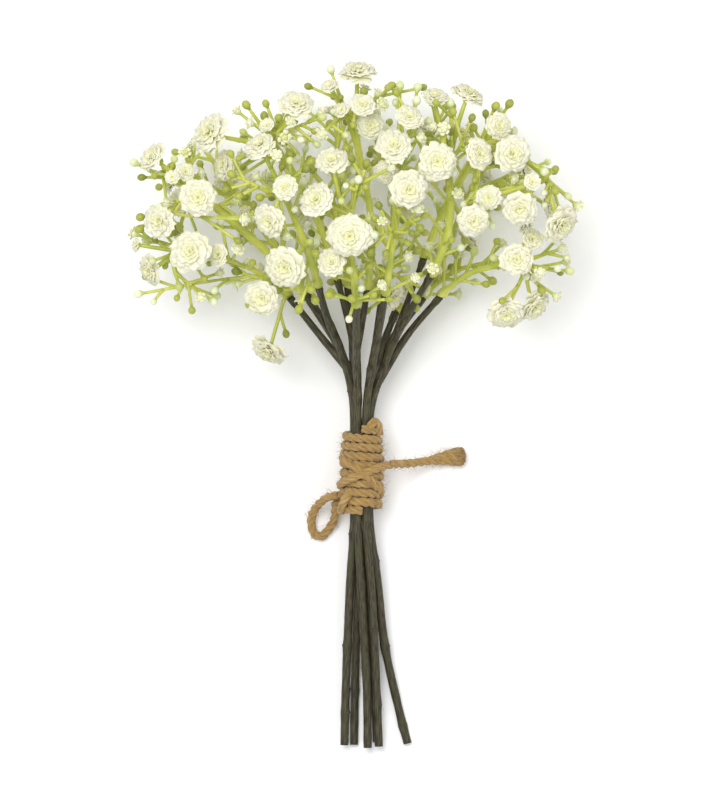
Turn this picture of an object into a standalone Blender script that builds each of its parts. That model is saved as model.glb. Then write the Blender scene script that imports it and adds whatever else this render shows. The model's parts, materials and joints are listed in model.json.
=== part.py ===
"""A small tied bunch of made gypsophila, lying on its side on a flat surface.

Six dark stems run side by side through a jute winding and fork above it. A moulded spray of yellow-green
stalks, buds and ivory double blooms sits on each forked tip. +Y runs from the cut ends to the blooms and
+Z is up. Sizes are in millimetres, and MM turns them into Blender's metres.
"""

import math
import random

import bmesh
import bpy
import numpy as np
from mathutils import Matrix, Vector

MM = 0.001
GAP = 0.3
UP = Vector((0, 0, 1))

# Stems: round, side by side in a ring of six where they are tied
STEM_R = 1.65
STEM_TIED_R = 1.45
STEM_TIP_R = 1.3
STEM_SIDES = 6
STEM_STEP = 11.0
FORK_STEP = 9.0
FORK_SLIMNESS = 0.9
TAPER_RUN = 20.0
TIP_TAPER_Y = 25.0
RING_R = 3.2
BUNDLE_X = 2.7
BUNDLE_Z = 16.0
BUNDLE_SLOPE = 0.11
TIE_TOP_Y = -7.5
TIE_BOTTOM_Y = -43.0
TIE_MID_Y = (TIE_TOP_Y + TIE_BOTTOM_Y) / 2

# Twine: its own radius, the turns of the winding and the crest of the winding at its two ends and its middle
TWINE_R = 1.7
KNOT_R = 2.3
TURNS = 9
WINDING_SIDES = 12
STRAND_SIDES = 5
STRAND_STEP = 4.5
CORD_STEP = 4.6
FREE_START = 2.2
WINDING_TOP_R = 7.2
WINDING_MID_R = 8.9
WINDING_END_R = 8.2
WINDING_BORE_R = RING_R + STEM_TIED_R + GAP

# Head: the dome that the blooms lie on
HEAD_Y = 84.0
HEAD_Z = 54.0
HEAD_HALF_X = 88.0
HEAD_HALF_Y = 51.0
HEAD_HALF_Z = 48.0
HEAD_HEART = Vector((0, 55, 40))
HEAD_STEP = 1.5
HEAD_STEPS = 14
HEAD_BALL = 0.92
BLOOM_LEAST = 5.0
BLOOM_FULLNESS = 1.04
BIG_BLOOM_R = 7.8
SMALL_BLOOM_R = 5.0

# Stalks and buds
PEDICEL_R = 0.74
BUD_STALK_R = 0.6
PEDICEL_CAP = 0.95
BIG_PEDICEL_CAP = 1.1
LIMB_CAP = 1.8
FORK_POWER = 0.38
FORK_PLACES = (0.35, 0.7, 1.0)
SHORTEST_PEDICEL = 5.0
FIRST_FORK = 2.4
TURN_MOST = math.radians(130)
TURN_COST = 7.0
REACH_COST = 0.9
BEND_RUN = 19.0
TRUNK_BOWS = (0.42, 0.25, 0.6, 0.1)
PEDICEL_BOWS = (0.35, 0.15, 0.55)
TRUNK_START = 2.5
BUD_LENGTH = 4.6
BUD_R = 1.9
BUD_TRIES = 40
FIRST_SIDE_BUD = 1000
SPRAY_GAP = 0.5
TIP_RUN = 4.0


class Spray:
    """One moulded spray: the dark tip that it sits on, its layer in the dome and its blooms and buds.

    layer is 1 on the upper side of the dome and -1 on the lower side. lift is how much its blooms turn
    up from straight out of the dome. heads are (x, y, width) or (x, y, width, z), and a width under 5 mm
    is a bud. buds is how many side buds it also gets.
    """

    def __init__(self, name, tip, layer, lift, heads, buds, seed):
        self.name = name
        self.tip = Vector(tip)
        self.layer = layer
        self.lift = lift
        self.heads = heads
        self.buds = buds
        self.seed = seed


SPRAYS = [
    Spray("spray_left_low", (-25.5, 42.5, 30), 0.9, 0.9, [
        (-64, 60, 17), (-80, 53, 13), (-36, 42, 14.5), (-34, 22, 15, 34), (-53, 59, 9.5), (-85, 63, 7),
        (-46, 52, 3.5, 50), (-84, 44, 3.5), (-86, 67, 3.5), (-71, 49, 3), (-59, 42, 3.5)], 5, 11),
    Spray("spray_left_mid", (-20.5, 44.5, 42), 0.95, 0.7, [
        (-61, 81, 15), (-76, 72, 14), (-79, 97, 12.5), (-71, 89, 6.5), (-66, 91, 8.5),
        (-50, 80, 3.5, 64), (-84, 71, 3.5), (-86, 95, 3), (-66, 98, 3.5, 66), (-46, 73, 3.5)], 5, 12),
    Spray("spray_left_high", (-14.5, 47.5, 54), 0.95, 0.25, [
        (-27, 54, 17), (-33, 72, 13.5), (-27, 85, 10.5), (-37, 101, 13),
        (-21, 92, 3.5), (-47, 90, 3), (-17, 43, 3.5)], 5, 13),
    Spray("spray_left_top", (-7, 50, 40), 0.9, 0.35, [
        (-56, 106, 17.5), (-51, 94, 12), (-23, 117, 14), (-34, 109, 7), (-43, 99, 3.5, 64),
        (-42, 117, 3.5), (-31, 112, 3), (-15, 113, 3.5), (-29, 106, 3)], 5, 14),
    Spray("spray_centre_high", (0.5, 39.5, 63), 1.0, 0.2, [
        (-2, 66, 17.5), (-9, 56, 11), (-15, 80, 14), (-9, 95, 13.5),
        (-1, 41, 3.5), (1, 87, 3.5), (4, 93, 3.5)], 5, 15),
    Spray("spray_centre_top", (5, 46, 47), 0.9, 0.25, [
        (1, 130, 15), (3, 117, 10), (-10, 124, 8), (6, 109, 11), (-5, 115, 7), (-4, 104, 3.5, 84),
        (-9, 131, 3.5), (13, 125, 4.5), (-12, 108, 3)], 5, 16),
    Spray("spray_mid_high", (12, 44, 59), 0.97, 0.2, [
        (21, 84, 15.5), (15, 101, 14.5), (12, 91, 10), (21, 112, 11),
        (18, 124, 3.5), (24, 118, 3.5), (9, 67, 3.5), (24, 76, 3.5)], 5, 17),
    Spray("spray_mid_low", (16, 37, 29), 0.55, 0.6, [
        (15, 43, 12, 44), (24, 60, 3.5, 62), (5.5, 43, 3.5, 40), (27, 46, 3.5, 52)], 5, 18),
    Spray("spray_right_high", (30, 51.5, 54), 0.95, 0.4, [
        (32, 95, 15.5), (31, 120, 11), (44, 121, 14), (48, 98, 13), (40, 107, 11, 68),
        (38, 117, 3.5), (44, 103, 3), (36, 109, 3)], 5, 19),
    Spray("spray_right_mid", (27, 58, 42), 0.9, 1.1, [
        (64, 77, 14.5), (80, 71, 16.5), (61, 98, 15.5), (46, 72, 13), (56, 109, 11), (69, 87, 8),
        (60, 87, 3.5, 70), (52, 81, 10), (55, 116, 3.5), (60, 117, 3.5), (73, 93, 3.5), (86.5, 80, 4),
        (78, 86, 3.5)], 5, 20),
    Spray("spray_right_low", (33.5, 43, 33), 0.85, 1.4, [
        (59, 36, 14), (70, 39, 14.5), (63, 57, 13.5), (69, 65, 9.5),
        (73, 47, 3.5), (83, 53, 3.5), (80, 61, 3)], 5, 21),
    Spray("spray_back_far_left", (-19, 44, 17), -0.9, 0.3, [
        (-50, 92, 13, 4.4), (-70, 70, 13), (-44, 66, 12), (-62, 104, 11), (-72, 88, 10),
        (-34, 48, 11), (-70, 80, 11, 34)], 5, 22),
    Spray("spray_back_left", (-3, 47, 18), -0.9, 0.3, [
        (-28, 106, 13), (-20, 78, 14), (-8, 116, 12), (-6, 94, 12), (-34, 92, 3.5)], 5, 23),
    Spray("spray_back_right", (11, 47, 18), -0.9, 0.3, [
        (26, 108, 13), (18, 80, 14), (5, 114, 11), (30, 92, 12), (36, 118, 3.5)], 5, 24),
    Spray("spray_back_far_right", (27, 43, 18), -0.9, 0.3, [
        (49, 92, 13, 4.4), (68, 74, 13), (44, 66, 12), (58, 108, 11), (67, 93, 10),
        (62, 58, 11), (76, 79, 11, 36)], 5, 25),
]


def round_bundle(angle_deg, y, radius):
    """A point round the bundle's axis: 0 degrees is +X, 90 is up."""
    angle = math.radians(angle_deg)
    z = BUNDLE_Z + BUNDLE_SLOPE * (y - TIE_MID_Y)
    return Vector((BUNDLE_X + radius * math.cos(angle), y, z + radius * math.sin(angle)))


def ring_point(angle_deg, y):
    """Where a tied stem's centre line passes, for its place round the ring."""
    return round_bundle(angle_deg, y, RING_R)


class Stem:
    """One dark stem: its place in the ring, its route below the tie and its forks above it."""

    def __init__(self, name, angle, below, above, forks):
        self.name = name
        self.angle = angle
        self.below = [Vector(p) for p in below]
        self.above = [Vector(p) for p in above]
        self.forks = forks

    def main_route(self):
        """From the cut end to the tip of the main branch, through the tie."""
        tied = [ring_point(self.angle, y) for y in (TIE_BOTTOM_Y - 3, TIE_MID_Y, TIE_TOP_Y + 3)]
        return self.below + tied + self.above


# Each fork is (start on the main route above the tie, bend, tip)
STEMS = [
    Stem("left", 180, [(-4.2, -134, 5.2), (-3.6, -110, 6.6), (-2.2, -75, 10.0)],
         [(-1.6, 8, 20), (-6, 23, 29), (-11, 35, 40.5), (-14.5, 47.5, 54)],
         [((-6, 23, 29), (-14, 35, 34.5), (-20.5, 44.5, 42)),
          ((-3.4, 15, 23.6), (-14, 28, 25), (-25.5, 42.5, 30))]),
    Stem("centre", 120, [(5.0, -135, 6.2), (4.6, -110, 8.6), (2.6, -75, 12.9)],
         [(1.0, 8, 24), (0.6, 21, 37), (0.5, 39.5, 63)],
         [((1.0, 8, 24), (-1.5, 28, 31.5), (-7, 50, 40)),
          ((0.6, 21, 37), (2.6, 32, 41), (5, 46, 47))]),
    Stem("mid_right", 60, [(9.4, -134.5, 5.4), (8.4, -110, 8.0), (6.6, -75, 12.7)],
         [(5.4, 8, 24), (8.2, 24, 38), (12, 44, 59)],
         [((5.4, 8, 24), (10.5, 23, 28.5), (16, 37, 29))]),
    Stem("right", 0, [(20.8, -133.5, 1.45), (17.8, -122, 1.6), (11.8, -95, 5.6), (9.0, -70, 9.6)],
         [(8.6, 8, 20), (14.5, 24, 31), (22, 38, 43), (30, 51.5, 54)],
         [((14.5, 24, 31), (21, 42, 37), (27, 58, 42)),
          ((8.6, 8, 20), (20, 27, 26), (33.5, 43, 33))]),
    Stem("back_left", 240, [(-0.4, -134, 1.4), (-0.2, -120, 1.4), (0.3, -95, 4.2), (1.1, -70, 7.9)],
         [(-0.6, 8, 15), (-8, 26, 15), (-19, 44, 17)],
         [((-0.6, 8, 15), (-1.2, 28, 16), (-3, 47, 18))]),
    Stem("back_right", 300, [(8.6, -133, 1.4), (8.2, -120, 1.4), (6.8, -95, 4.2), (5.4, -70, 7.9)],
         [(6.6, 8, 15), (14, 25, 16), (27, 43, 18)],
         [((6.6, 8, 15), (8.6, 28, 16), (11, 47, 18))]),
]


def clear_scene():
    for old in list(bpy.data.objects):
        bpy.data.objects.remove(old, do_unlink=True)


def plastic(name, colour, roughness):
    material = bpy.data.materials.new(name)
    material.use_nodes = True
    shader = material.node_tree.nodes["Principled BSDF"]
    shader.inputs["Base Color"].default_value = (*colour, 1)
    shader.inputs["Roughness"].default_value = roughness
    return material


def smooth_route(points, step):
    """A Catmull-Rom curve through the points, read about every step."""
    ends = [points[0] * 2 - points[1]] + list(points) + [points[-1] * 2 - points[-2]]
    route = []
    for i in range(1, len(ends) - 2):
        p0, p1, p2, p3 = ends[i - 1:i + 3]
        count = max(1, round((p2 - p1).length / step))
        for k in range(count):
            t = k / count
            route.append(0.5 * (2 * p1 + (p2 - p0) * t + (2 * p0 - 5 * p1 + 4 * p2 - p3) * t * t
                                + (3 * p1 - p0 - 3 * p2 + p3) * t ** 3))
    return route + [points[-1].copy()]


def across(direction):
    """Two unit vectors square to a direction and to each other."""
    side = direction.cross(UP if abs(direction.z) < 0.9 else Vector((1, 0, 0))).normalized()
    return side, direction.cross(side).normalized()


def route_directions(route):
    inner = [(route[i + 1] - route[i - 1]).normalized() for i in range(1, len(route) - 1)]
    return [(route[1] - route[0]).normalized()] + inner + [(route[-1] - route[-2]).normalized()]


def tube(route, radii, sides):
    """A closed tube with a radius at each point of its route. It ends flat, or in a point if that is 0."""
    bm = bmesh.new()
    rings = []
    side = across(route_directions(route)[0])[0]
    for point, direction, radius in zip(route, route_directions(route), radii):
        if radius == 0:
            break
        side = (side - direction * side.dot(direction)).normalized()
        other = direction.cross(side)
        ring = []
        for k in range(sides):
            turn = 2 * math.pi * k / sides
            ring.append(bm.verts.new(point + radius * (math.cos(turn) * side + math.sin(turn) * other)))
        rings.append(ring)
    for low, high in zip(rings, rings[1:]):
        for k in range(sides):
            bm.faces.new((low[k], low[(k + 1) % sides], high[(k + 1) % sides], high[k]))
    bm.faces.new(reversed(rings[0]))
    if radii[-1] == 0:
        tip = bm.verts.new(route[-1])
        for k in range(sides):
            bm.faces.new((rings[-1][k], rings[-1][(k + 1) % sides], tip))
    else:
        bm.faces.new(rings[-1])
    return bm


def stacked(rings, sides, foot, crown, place):
    """A closed body from rings of (radius, height) pairs, one pair per side, between two poles."""
    bm = bmesh.new()
    low = [None] * sides
    bottom = bm.verts.new(place @ Vector((0, 0, foot)))
    for level, ring in enumerate(rings):
        here = []
        for k, (radius, height) in enumerate(ring):
            turn = 2 * math.pi * k / sides
            corner = Vector((radius * math.cos(turn), radius * math.sin(turn), height))
            here.append(bm.verts.new(place @ corner))
        for k in range(sides):
            n = (k + 1) % sides
            if level == 0:
                bm.faces.new((bottom, here[n], here[k]))
            else:
                bm.faces.new((low[k], low[n], here[n]))
                bm.faces.new((low[k], here[n], here[k]))
        low = here
    top = bm.verts.new(place @ Vector((0, 0, crown)))
    for k in range(sides):
        bm.faces.new((low[k], low[(k + 1) % sides], top))
    return bm


def facing_frame(centre, direction, spin):
    """The placement that turns local +Z along a direction, after a spin about it."""
    side, other = across(direction)
    turn = Matrix((side, other, direction)).transposed().to_4x4()
    return Matrix.Translation(centre) @ turn @ Matrix.Rotation(spin, 4, "Z")


def bloom(centre, direction, radius, petals, spin):
    """A double bloom: an outer ring of petals, an inner ring between them and a raised heart."""
    sides = 2 * petals
    outer, groove, inner, heart = [], [], [], []
    for k in range(sides):
        tip = k % 2 == 0
        outer.append((radius * (1.0 if tip else 0.82), radius * (0.12 if tip else -0.06)))
        groove.append((radius * (0.54 if tip else 0.44), radius * 0.08))
        inner.append((radius * (0.50 if tip else 0.72), radius * (0.32 if tip else 0.42)))
        heart.append((radius * (0.30 if tip else 0.24), radius * 0.34))
    place = facing_frame(centre, direction, spin)
    return stacked([outer, groove, inner, heart], sides, -0.42 * radius, 0.62 * radius, place)


def with_bud(points, radii):
    """A stalk's points and radii with a small egg, widest past its middle, at its end."""
    way = route_directions(points)[-1]
    egg = [(0.55, 0.4), (1.0, 0.0)]
    egg_points = [points[-1] + way * BUD_LENGTH * share for share, _ in egg]
    return points + egg_points, radii + [BUD_LENGTH * width for _, width in egg]


def add_object(name, bm, material):
    """Turns a bmesh in millimetres into an object in metres, its faces out."""
    bmesh.ops.scale(bm, vec=(MM, MM, MM), verts=bm.verts)
    bmesh.ops.recalc_face_normals(bm, faces=bm.faces)
    mesh = bpy.data.meshes.new(name)
    bm.to_mesh(mesh)
    bm.free()
    mesh.materials.append(material)
    thing = bpy.data.objects.new(name, mesh)
    bpy.context.scene.collection.objects.link(thing)
    return thing


def keep_main_body(mesh):
    """Drops loose scraps and fills sealed hollows: only the largest shell stays."""
    bm = bmesh.new()
    bm.from_mesh(mesh)
    bmesh.ops.triangulate(bm, faces=bm.faces)
    unseen = set(bm.faces)
    shells = []
    while unseen:
        stack = [unseen.pop()]
        shell = []
        while stack:
            face = stack.pop()
            shell.append(face)
            for edge in face.edges:
                for other in edge.link_faces:
                    if other in unseen:
                        unseen.remove(other)
                        stack.append(other)
        shells.append(shell)
    shells.sort(key=lambda shell: sum(face.calc_area() for face in shell))
    for scrap in shells[:-1]:
        bmesh.ops.delete(bm, geom=scrap, context="FACES")
    bm.to_mesh(mesh)
    bm.free()


def apply_boolean(thing, operation, **settings):
    cut = thing.modifiers.new("join", "BOOLEAN")
    cut.operation = operation
    for key, value in settings.items():
        setattr(cut, key, value)
    bpy.context.view_layer.update()
    baked = bpy.data.meshes.new_from_object(thing.evaluated_get(bpy.context.evaluated_depsgraph_get()))
    thing.modifiers.clear()
    old = thing.data
    thing.data = baked
    bpy.data.meshes.remove(old)
    keep_main_body(baked)


def fuse(name, first, others, material):
    """One solid from a main body and the (bmesh, material) pieces that grow from it."""
    thing = add_object(name, first, material)
    group = bpy.data.collections.new(name + "_pieces")
    bpy.context.scene.collection.children.link(group)
    for k, (bm, own_material) in enumerate(others):
        piece = add_object(f"{name}_piece_{k}", bm, own_material)
        bpy.context.scene.collection.objects.unlink(piece)
        group.objects.link(piece)
    apply_boolean(thing, "UNION", operand_type="COLLECTION", collection=group, solver="EXACT",
                  material_mode="TRANSFER")
    for piece in list(group.objects):
        bpy.data.objects.remove(piece, do_unlink=True)
    bpy.data.collections.remove(group)
    thing.data.name = name
    return thing


class Room:
    """What already fills the head: balls along each stem and stalk and in each bloom and bud."""

    def __init__(self):
        self.centres = np.zeros((0, 3))
        self.radii = np.zeros(0)
        self.owners = np.zeros(0, int)
        self.heads = np.zeros(0, int)

    def add(self, centres, radii, owner, head):
        count = len(centres)
        self.centres = np.vstack([self.centres, np.array([tuple(c) for c in centres])])
        self.radii = np.concatenate([self.radii, np.array(radii, float)])
        self.owners = np.concatenate([self.owners, np.full(count, owner)])
        self.heads = np.concatenate([self.heads, np.full(count, head)])

    def is_clear(self, centres, radii, owner, head):
        """Whether balls miss everything of other owners, and every bloom or bud but their own."""
        others = (self.owners != owner) | ((self.heads >= 0) & (self.heads != head))
        if not others.any():
            return True
        here = np.array([tuple(c) for c in centres])
        apart = np.linalg.norm(here[:, None, :] - self.centres[others][None, :, :], axis=2)
        need = np.array(radii, float)[:, None] + self.radii[others][None, :] + SPRAY_GAP
        return bool((apart > need).all())


def ball_row(points):
    """Points about every millimetre along a bent stalk."""
    row = [points[0]]
    for a, b in zip(points, points[1:]):
        count = max(1, math.ceil((b - a).length))
        row += [a.lerp(b, k / count) for k in range(1, count + 1)]
    return row


def dome_height(x, y, layer):
    """The height of the dome's upper or lower side over a place."""
    reach = 1 - (x / HEAD_HALF_X) ** 2 - ((y - HEAD_Y) / HEAD_HALF_Y) ** 2
    return HEAD_Z + layer * HEAD_HALF_Z * math.sqrt(max(0.0, reach))


def inside_head(point):
    """Whether a side bud's tip stays in the head's outline, seen from above, and off the surface."""
    reach = (point.x / HEAD_HALF_X) ** 2 + ((point.y - HEAD_Y) / HEAD_HALF_Y) ** 2
    return point.z > 2.0 and abs(point.x) < HEAD_HALF_X - 2 and (reach < 0.97 or point.y < HEAD_Y)


class Head:
    """One bloom or bud: its middle, its radius and the way it faces."""

    def __init__(self, number, centre, radius, lift=0.0):
        self.number = number
        self.centre = centre
        self.radius = radius
        self.facing = ((centre - HEAD_HEART).normalized() + UP * lift).normalized()
        self.is_bloom = 2 * radius >= BLOOM_LEAST

    def base(self):
        return self.centre - self.facing * (0.3 * self.radius if self.is_bloom else 0.5 * BUD_LENGTH)


class Stalk:
    """A stalk from its fork to its head: its points, its greatest radius and the heads past each point."""

    def __init__(self, points, cap, head, parent=None, fork=0):
        self.points = points
        self.cap = cap
        self.head = head
        self.parent = parent
        self.fork = fork
        self.load = [1] * len(points)
        self.children = []

    def radii(self):
        least = PEDICEL_R if self.head.is_bloom else BUD_STALK_R
        return [min(self.cap, least * load ** FORK_POWER) for load in self.load]


def place_heads(room):
    """Sets every listed bloom and bud on the dome, moving it inward until it is clear of the others."""
    placed = {}
    number = 0
    for owner, spray in enumerate(SPRAYS):
        placed[spray.name] = []
        for x, y, width, *height in spray.heads:
            radius = width / 2 * (BLOOM_FULLNESS if width >= BLOOM_LEAST else 1.0)
            z = height[0] if height else max(dome_height(x, y, spray.layer), radius)
            inward = -HEAD_STEP if z > HEAD_HEART.z else HEAD_STEP
            for step in range(HEAD_STEPS):
                centre = Vector((x, y, z + inward * step))
                if room.is_clear([centre], [radius * HEAD_BALL], owner, number):
                    break
            head = Head(number, centre, radius, spray.lift)
            room.add([centre], [radius * HEAD_BALL], owner, number)
            placed[spray.name].append(head)
            number += 1
    return placed


def bowed(start, way, end, bow):
    """Points from start to end, leaving a little along way."""
    length = (end - start).length
    control = start + way * length * bow
    count = max(1, min(3, round(length / BEND_RUN)))
    points = []
    for k in range(count + 1):
        t = k / count
        points.append(start * (1 - t) ** 2 + control * (2 * t * (1 - t)) + end * t * t)
    return points


def fork_choices(stalks, goal):
    """Every place on the stalks that a new one could leave from, the best first."""
    choices = []
    for index, stalk in enumerate(stalks):
        reach = 0.0
        for k in range(1, len(stalk.points)):
            a, b = stalk.points[k - 1], stalk.points[k]
            way = (b - a).normalized()
            for t in FORK_PLACES:
                point = a.lerp(b, t)
                path = goal - point
                at_head = t == 1.0 and k == len(stalk.points) - 1
                at_socket = index == 0 and reach + t * (b - a).length < FIRST_FORK
                if at_head or at_socket or path.length < SHORTEST_PEDICEL:
                    continue
                turn = way.angle(path.normalized())
                if turn < TURN_MOST:
                    cost = path.length + REACH_COST * reach + TURN_COST * turn
                    choices.append((cost, index, k, t, point, way))
            reach += (b - a).length
    choices.sort(key=lambda choice: choice[:4])
    return choices


def add_fork(stalk, k, t, point):
    """Puts a fork point into a stalk and returns its index."""
    if t >= 1.0:
        return k
    stalk.points.insert(k, point)
    stalk.load.insert(k, stalk.load[k])
    for other in stalk.children:
        if other.fork >= k:
            other.fork += 1
    return k


def grow_trunk(room, owner, spray, heads):
    """The spray's first stalk: from the dark tip to the farthest head that it can reach clear of the rest."""
    aim = tip_direction(spray.tip)
    root = spray.tip + aim * GAP
    for head in heads:
        for bow in TRUNK_BOWS:
            points = [root] + bowed(root + aim * TRUNK_START, aim, head.base(), bow)
            row = ball_row(points)
            if room.is_clear(row, [LIMB_CAP] * len(row), owner, head.number):
                return Stalk(points, LIMB_CAP, head), row
    raise RuntimeError(f"{spray.name} has no clear way out of its tip")


def clear_way(room, owner, stalks, head):
    """The best fork place and bent way to a head that crosses nothing, or None."""
    for cost, index, k, t, point, way in fork_choices(stalks, head.base()):
        for bow in PEDICEL_BOWS:
            points = bowed(point, way, head.base(), bow)
            row = ball_row(points)
            if room.is_clear(row, [PEDICEL_CAP] * len(row), owner, head.number):
                return stalks[index], k, t, points
    return None


def grow(room, owner, spray, heads):
    """Joins each head to the spray, the farthest first, by the nearest clear way."""
    rest = sorted(heads, key=lambda head: -(head.base() - spray.tip).length)
    trunk, row = grow_trunk(room, owner, spray, rest)
    stalks = [trunk]
    room.add(row, [LIMB_CAP] * len(row), owner, -1)
    for head in rest:
        if head is trunk.head:
            continue
        way_in = clear_way(room, owner, stalks, head)
        if way_in:
            parent, k, t, points = way_in
            fork = add_fork(parent, k, t, points[0])
            cap = PEDICEL_CAP if head.radius < SMALL_BLOOM_R else BIG_PEDICEL_CAP
            stalk = Stalk(points, cap, head, parent, fork)
            parent.children.append(stalk)
            stalks.append(stalk)
            row = ball_row(points)
            room.add(row, [cap] * len(row), owner, -1)
    for stalk in stalks[1:]:
        child = stalk
        while child.parent:
            for j in range(child.fork + 1):
                child.parent.load[j] += 1
            child = child.parent
    return stalks


def add_side_buds(room, owner, spray, stalks, rng):
    """Small buds on short stalks of their own, where there is room for them."""
    made = []
    for number in range(FIRST_SIDE_BUD + owner * BUD_TRIES, FIRST_SIDE_BUD + (owner + 1) * BUD_TRIES):
        parent = rng.choice(stalks)
        k = rng.randrange(1, len(parent.points))
        start = parent.points[k - 1].lerp(parent.points[k], rng.uniform(0.3, 0.8))
        way = (parent.points[k] - parent.points[k - 1]).normalized()
        side, other = across(way)
        turn = rng.uniform(0, 2 * math.pi)
        lean = rng.uniform(0.6, 1.0)
        out = way * math.cos(lean) + (side * math.cos(turn) + other * math.sin(turn)) * math.sin(lean)
        end = start + out * rng.uniform(6, 11)
        row = ball_row([start + out * BUD_R, end, end + out * BUD_LENGTH])
        wide = [PEDICEL_CAP] * (len(row) - 5) + [BUD_R] * 5
        if not inside_head(end + out * BUD_LENGTH) or not room.is_clear(row, wide, owner, number):
            continue
        head = Head(number, end + out * BUD_LENGTH / 2, BUD_R)
        room.add(row, wide, owner, number)
        made.append(Stalk([start, end], PEDICEL_R, head))
        if len(made) == spray.buds:
            break
    return made


def stem_routes(stem):
    """The main route of a stem and its forks, each with the radius at each point."""
    main = smooth_route(stem.main_route(), STEM_STEP)
    routes = [(main, [stem_radius(p) for p in main])]
    for points in stem.forks:
        fork = smooth_route([Vector(p) for p in points], FORK_STEP)
        routes.append((fork, [stem_radius(p) * FORK_SLIMNESS for p in fork]))
    return routes


def fill_with_branch(room, row):
    """Notes a dark branch. Its last few millimetres count as part of the spray that sits on it."""
    for point in row:
        reach = [(spray.tip - point).length for spray in SPRAYS]
        owner = reach.index(min(reach)) if min(reach) < TIP_RUN else -1
        room.add([point], [STEM_R], owner, -1)


def tip_direction(tip):
    """The way that the dark branch under a spray points where it ends."""
    ends = [route for stem in STEMS for route, radii in stem_routes(stem)]
    nearest = min(ends, key=lambda route: (route[-1] - tip).length)
    return route_directions(nearest)[-1]


def stem_radius(point):
    """Least where the twine presses, full a little way off, slimmer again towards the tips."""
    past_tie = max(0.0, TIE_BOTTOM_Y - 3 - point.y, point.y - TIE_TOP_Y - 3)
    radius = STEM_TIED_R + (STEM_R - STEM_TIED_R) * min(1.0, past_tie / TAPER_RUN)
    if point.y > TIP_TAPER_Y:
        radius += (STEM_TIP_R - STEM_R) * min(1.0, (point.y - TIP_TAPER_Y) / TAPER_RUN)
    return radius


def build_stem(stem, material):
    routes = stem_routes(stem)
    bodies = []
    for route, radii in routes:
        bm = tube(route, radii, STEM_SIDES)
        for vert in bm.verts:
            vert.co.z = max(0.0, vert.co.z)
        bodies.append(bm)
    return fuse("stem_" + stem.name, bodies[0], [(bm, material) for bm in bodies[1:]], material)


# The twine past its turns, as (angle, y, radius) round the bundle: two strands that cross on the front,
# the knot under them, the ear at the top and the strand that the loop comes back to
TAIL_STRAND = [(205, -32, 7.6), (165, -31, 8.8), (125, -29, 9.3), (85, -26.5, 9.6), (52, -24.6, 9.7),
               (32, -23.7, 10.4), (20, -23.3, 11.3)]
CROSS_STRAND = [(175, -20, 7.4), (140, -21.5, 8.8), (95, -25.5, 9.0), (50, -31.5, 9.1), (15, -34.5, 8.0)]
KNOT_STRAND = [(120, -33, 7.6), (132, -36.5, 9.6), (150, -40, 9.4), (172, -41.5, 8.2)]
LOOP_STUB = [(176, -34.8, 6.6), (180, -35.2, 9.2)]
RETURN_STUB = [(196, -35.6, 6.6), (205, -37.2, 9.6)]
EAR_STRAND = [(10, -11.5, 6.9), (28, -7.6, 7.1), (46, -6.0, 7.0), (64, -9.0, 6.8)]

# Free twine, as routes in space that start where a strand ends
TAIL_ROUTE = [(18.5, -22.9, 14.6), (24.5, -22.4, 9.4), (31, -21.4, 5.6), (37.5, -20.4, 3.95),
              (41.5, -20, 3.95)]
TAIL_FLARE = [(0.0, 1.0), (0.62, 1.0), (0.86, 1.9), (0.95, 2.3), (1.0, 2.0)]
LOOP_ROUTE = [(-11.6, -36.4, 11.6), (-15.8, -40.6, 6.6), (-17.4, -45.6, 3.4), (-16.2, -50.4, 2.0),
              (-13.4, -51.6, 1.9), (-10.4, -48.6, 2.5), (-8.2, -44.6, 4.6)]


def winding_crest(t):
    """The winding's outer radius, from its top at 0 to its bottom at 1."""
    if t < 0.4:
        return WINDING_TOP_R + (WINDING_MID_R - WINDING_TOP_R) * math.sin(math.pi / 2 * t / 0.4)
    return WINDING_MID_R + (WINDING_END_R - WINDING_MID_R) * ((t - 0.4) / 0.6) ** 2


def winding_body():
    """The turns as one ridged ring round the stems."""
    profile = []
    for turn in range(TURNS):
        for share, dip in ((0.0, 0.9), (0.5, -0.2)):
            t = (turn + share) / TURNS
            profile.append((winding_crest(t) - dip, TIE_TOP_Y + t * (TIE_BOTTOM_Y - TIE_TOP_Y)))
    profile.append((WINDING_END_R - 0.9, TIE_BOTTOM_Y))
    profile += [(WINDING_BORE_R, TIE_BOTTOM_Y), (WINDING_BORE_R, TIE_TOP_Y)]
    bm = bmesh.new()
    rings = []
    for k in range(WINDING_SIDES):
        angle = 360 * (k + 0.5) / WINDING_SIDES
        rings.append([bm.verts.new(round_bundle(angle, y, radius)) for radius, y in profile])
    for k in range(WINDING_SIDES):
        here, there = rings[k], rings[(k + 1) % WINDING_SIDES]
        for i in range(len(profile)):
            n = (i + 1) % len(profile)
            bm.faces.new((here[i], here[n], there[n], there[i]))
    return bm


def strand(points, radius):
    route = smooth_route([round_bundle(*p) for p in points], STRAND_STEP)
    return tube(route, [radius] * len(route), STRAND_SIDES)


def build_winding(material):
    strands = [(TAIL_STRAND, TWINE_R), (CROSS_STRAND, TWINE_R), (KNOT_STRAND, KNOT_R), (LOOP_STUB, TWINE_R),
               (RETURN_STUB, TWINE_R), (EAR_STRAND, TWINE_R)]
    return fuse("jute_winding", winding_body(), [(strand(p, r), material) for p, r in strands], material)


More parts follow.
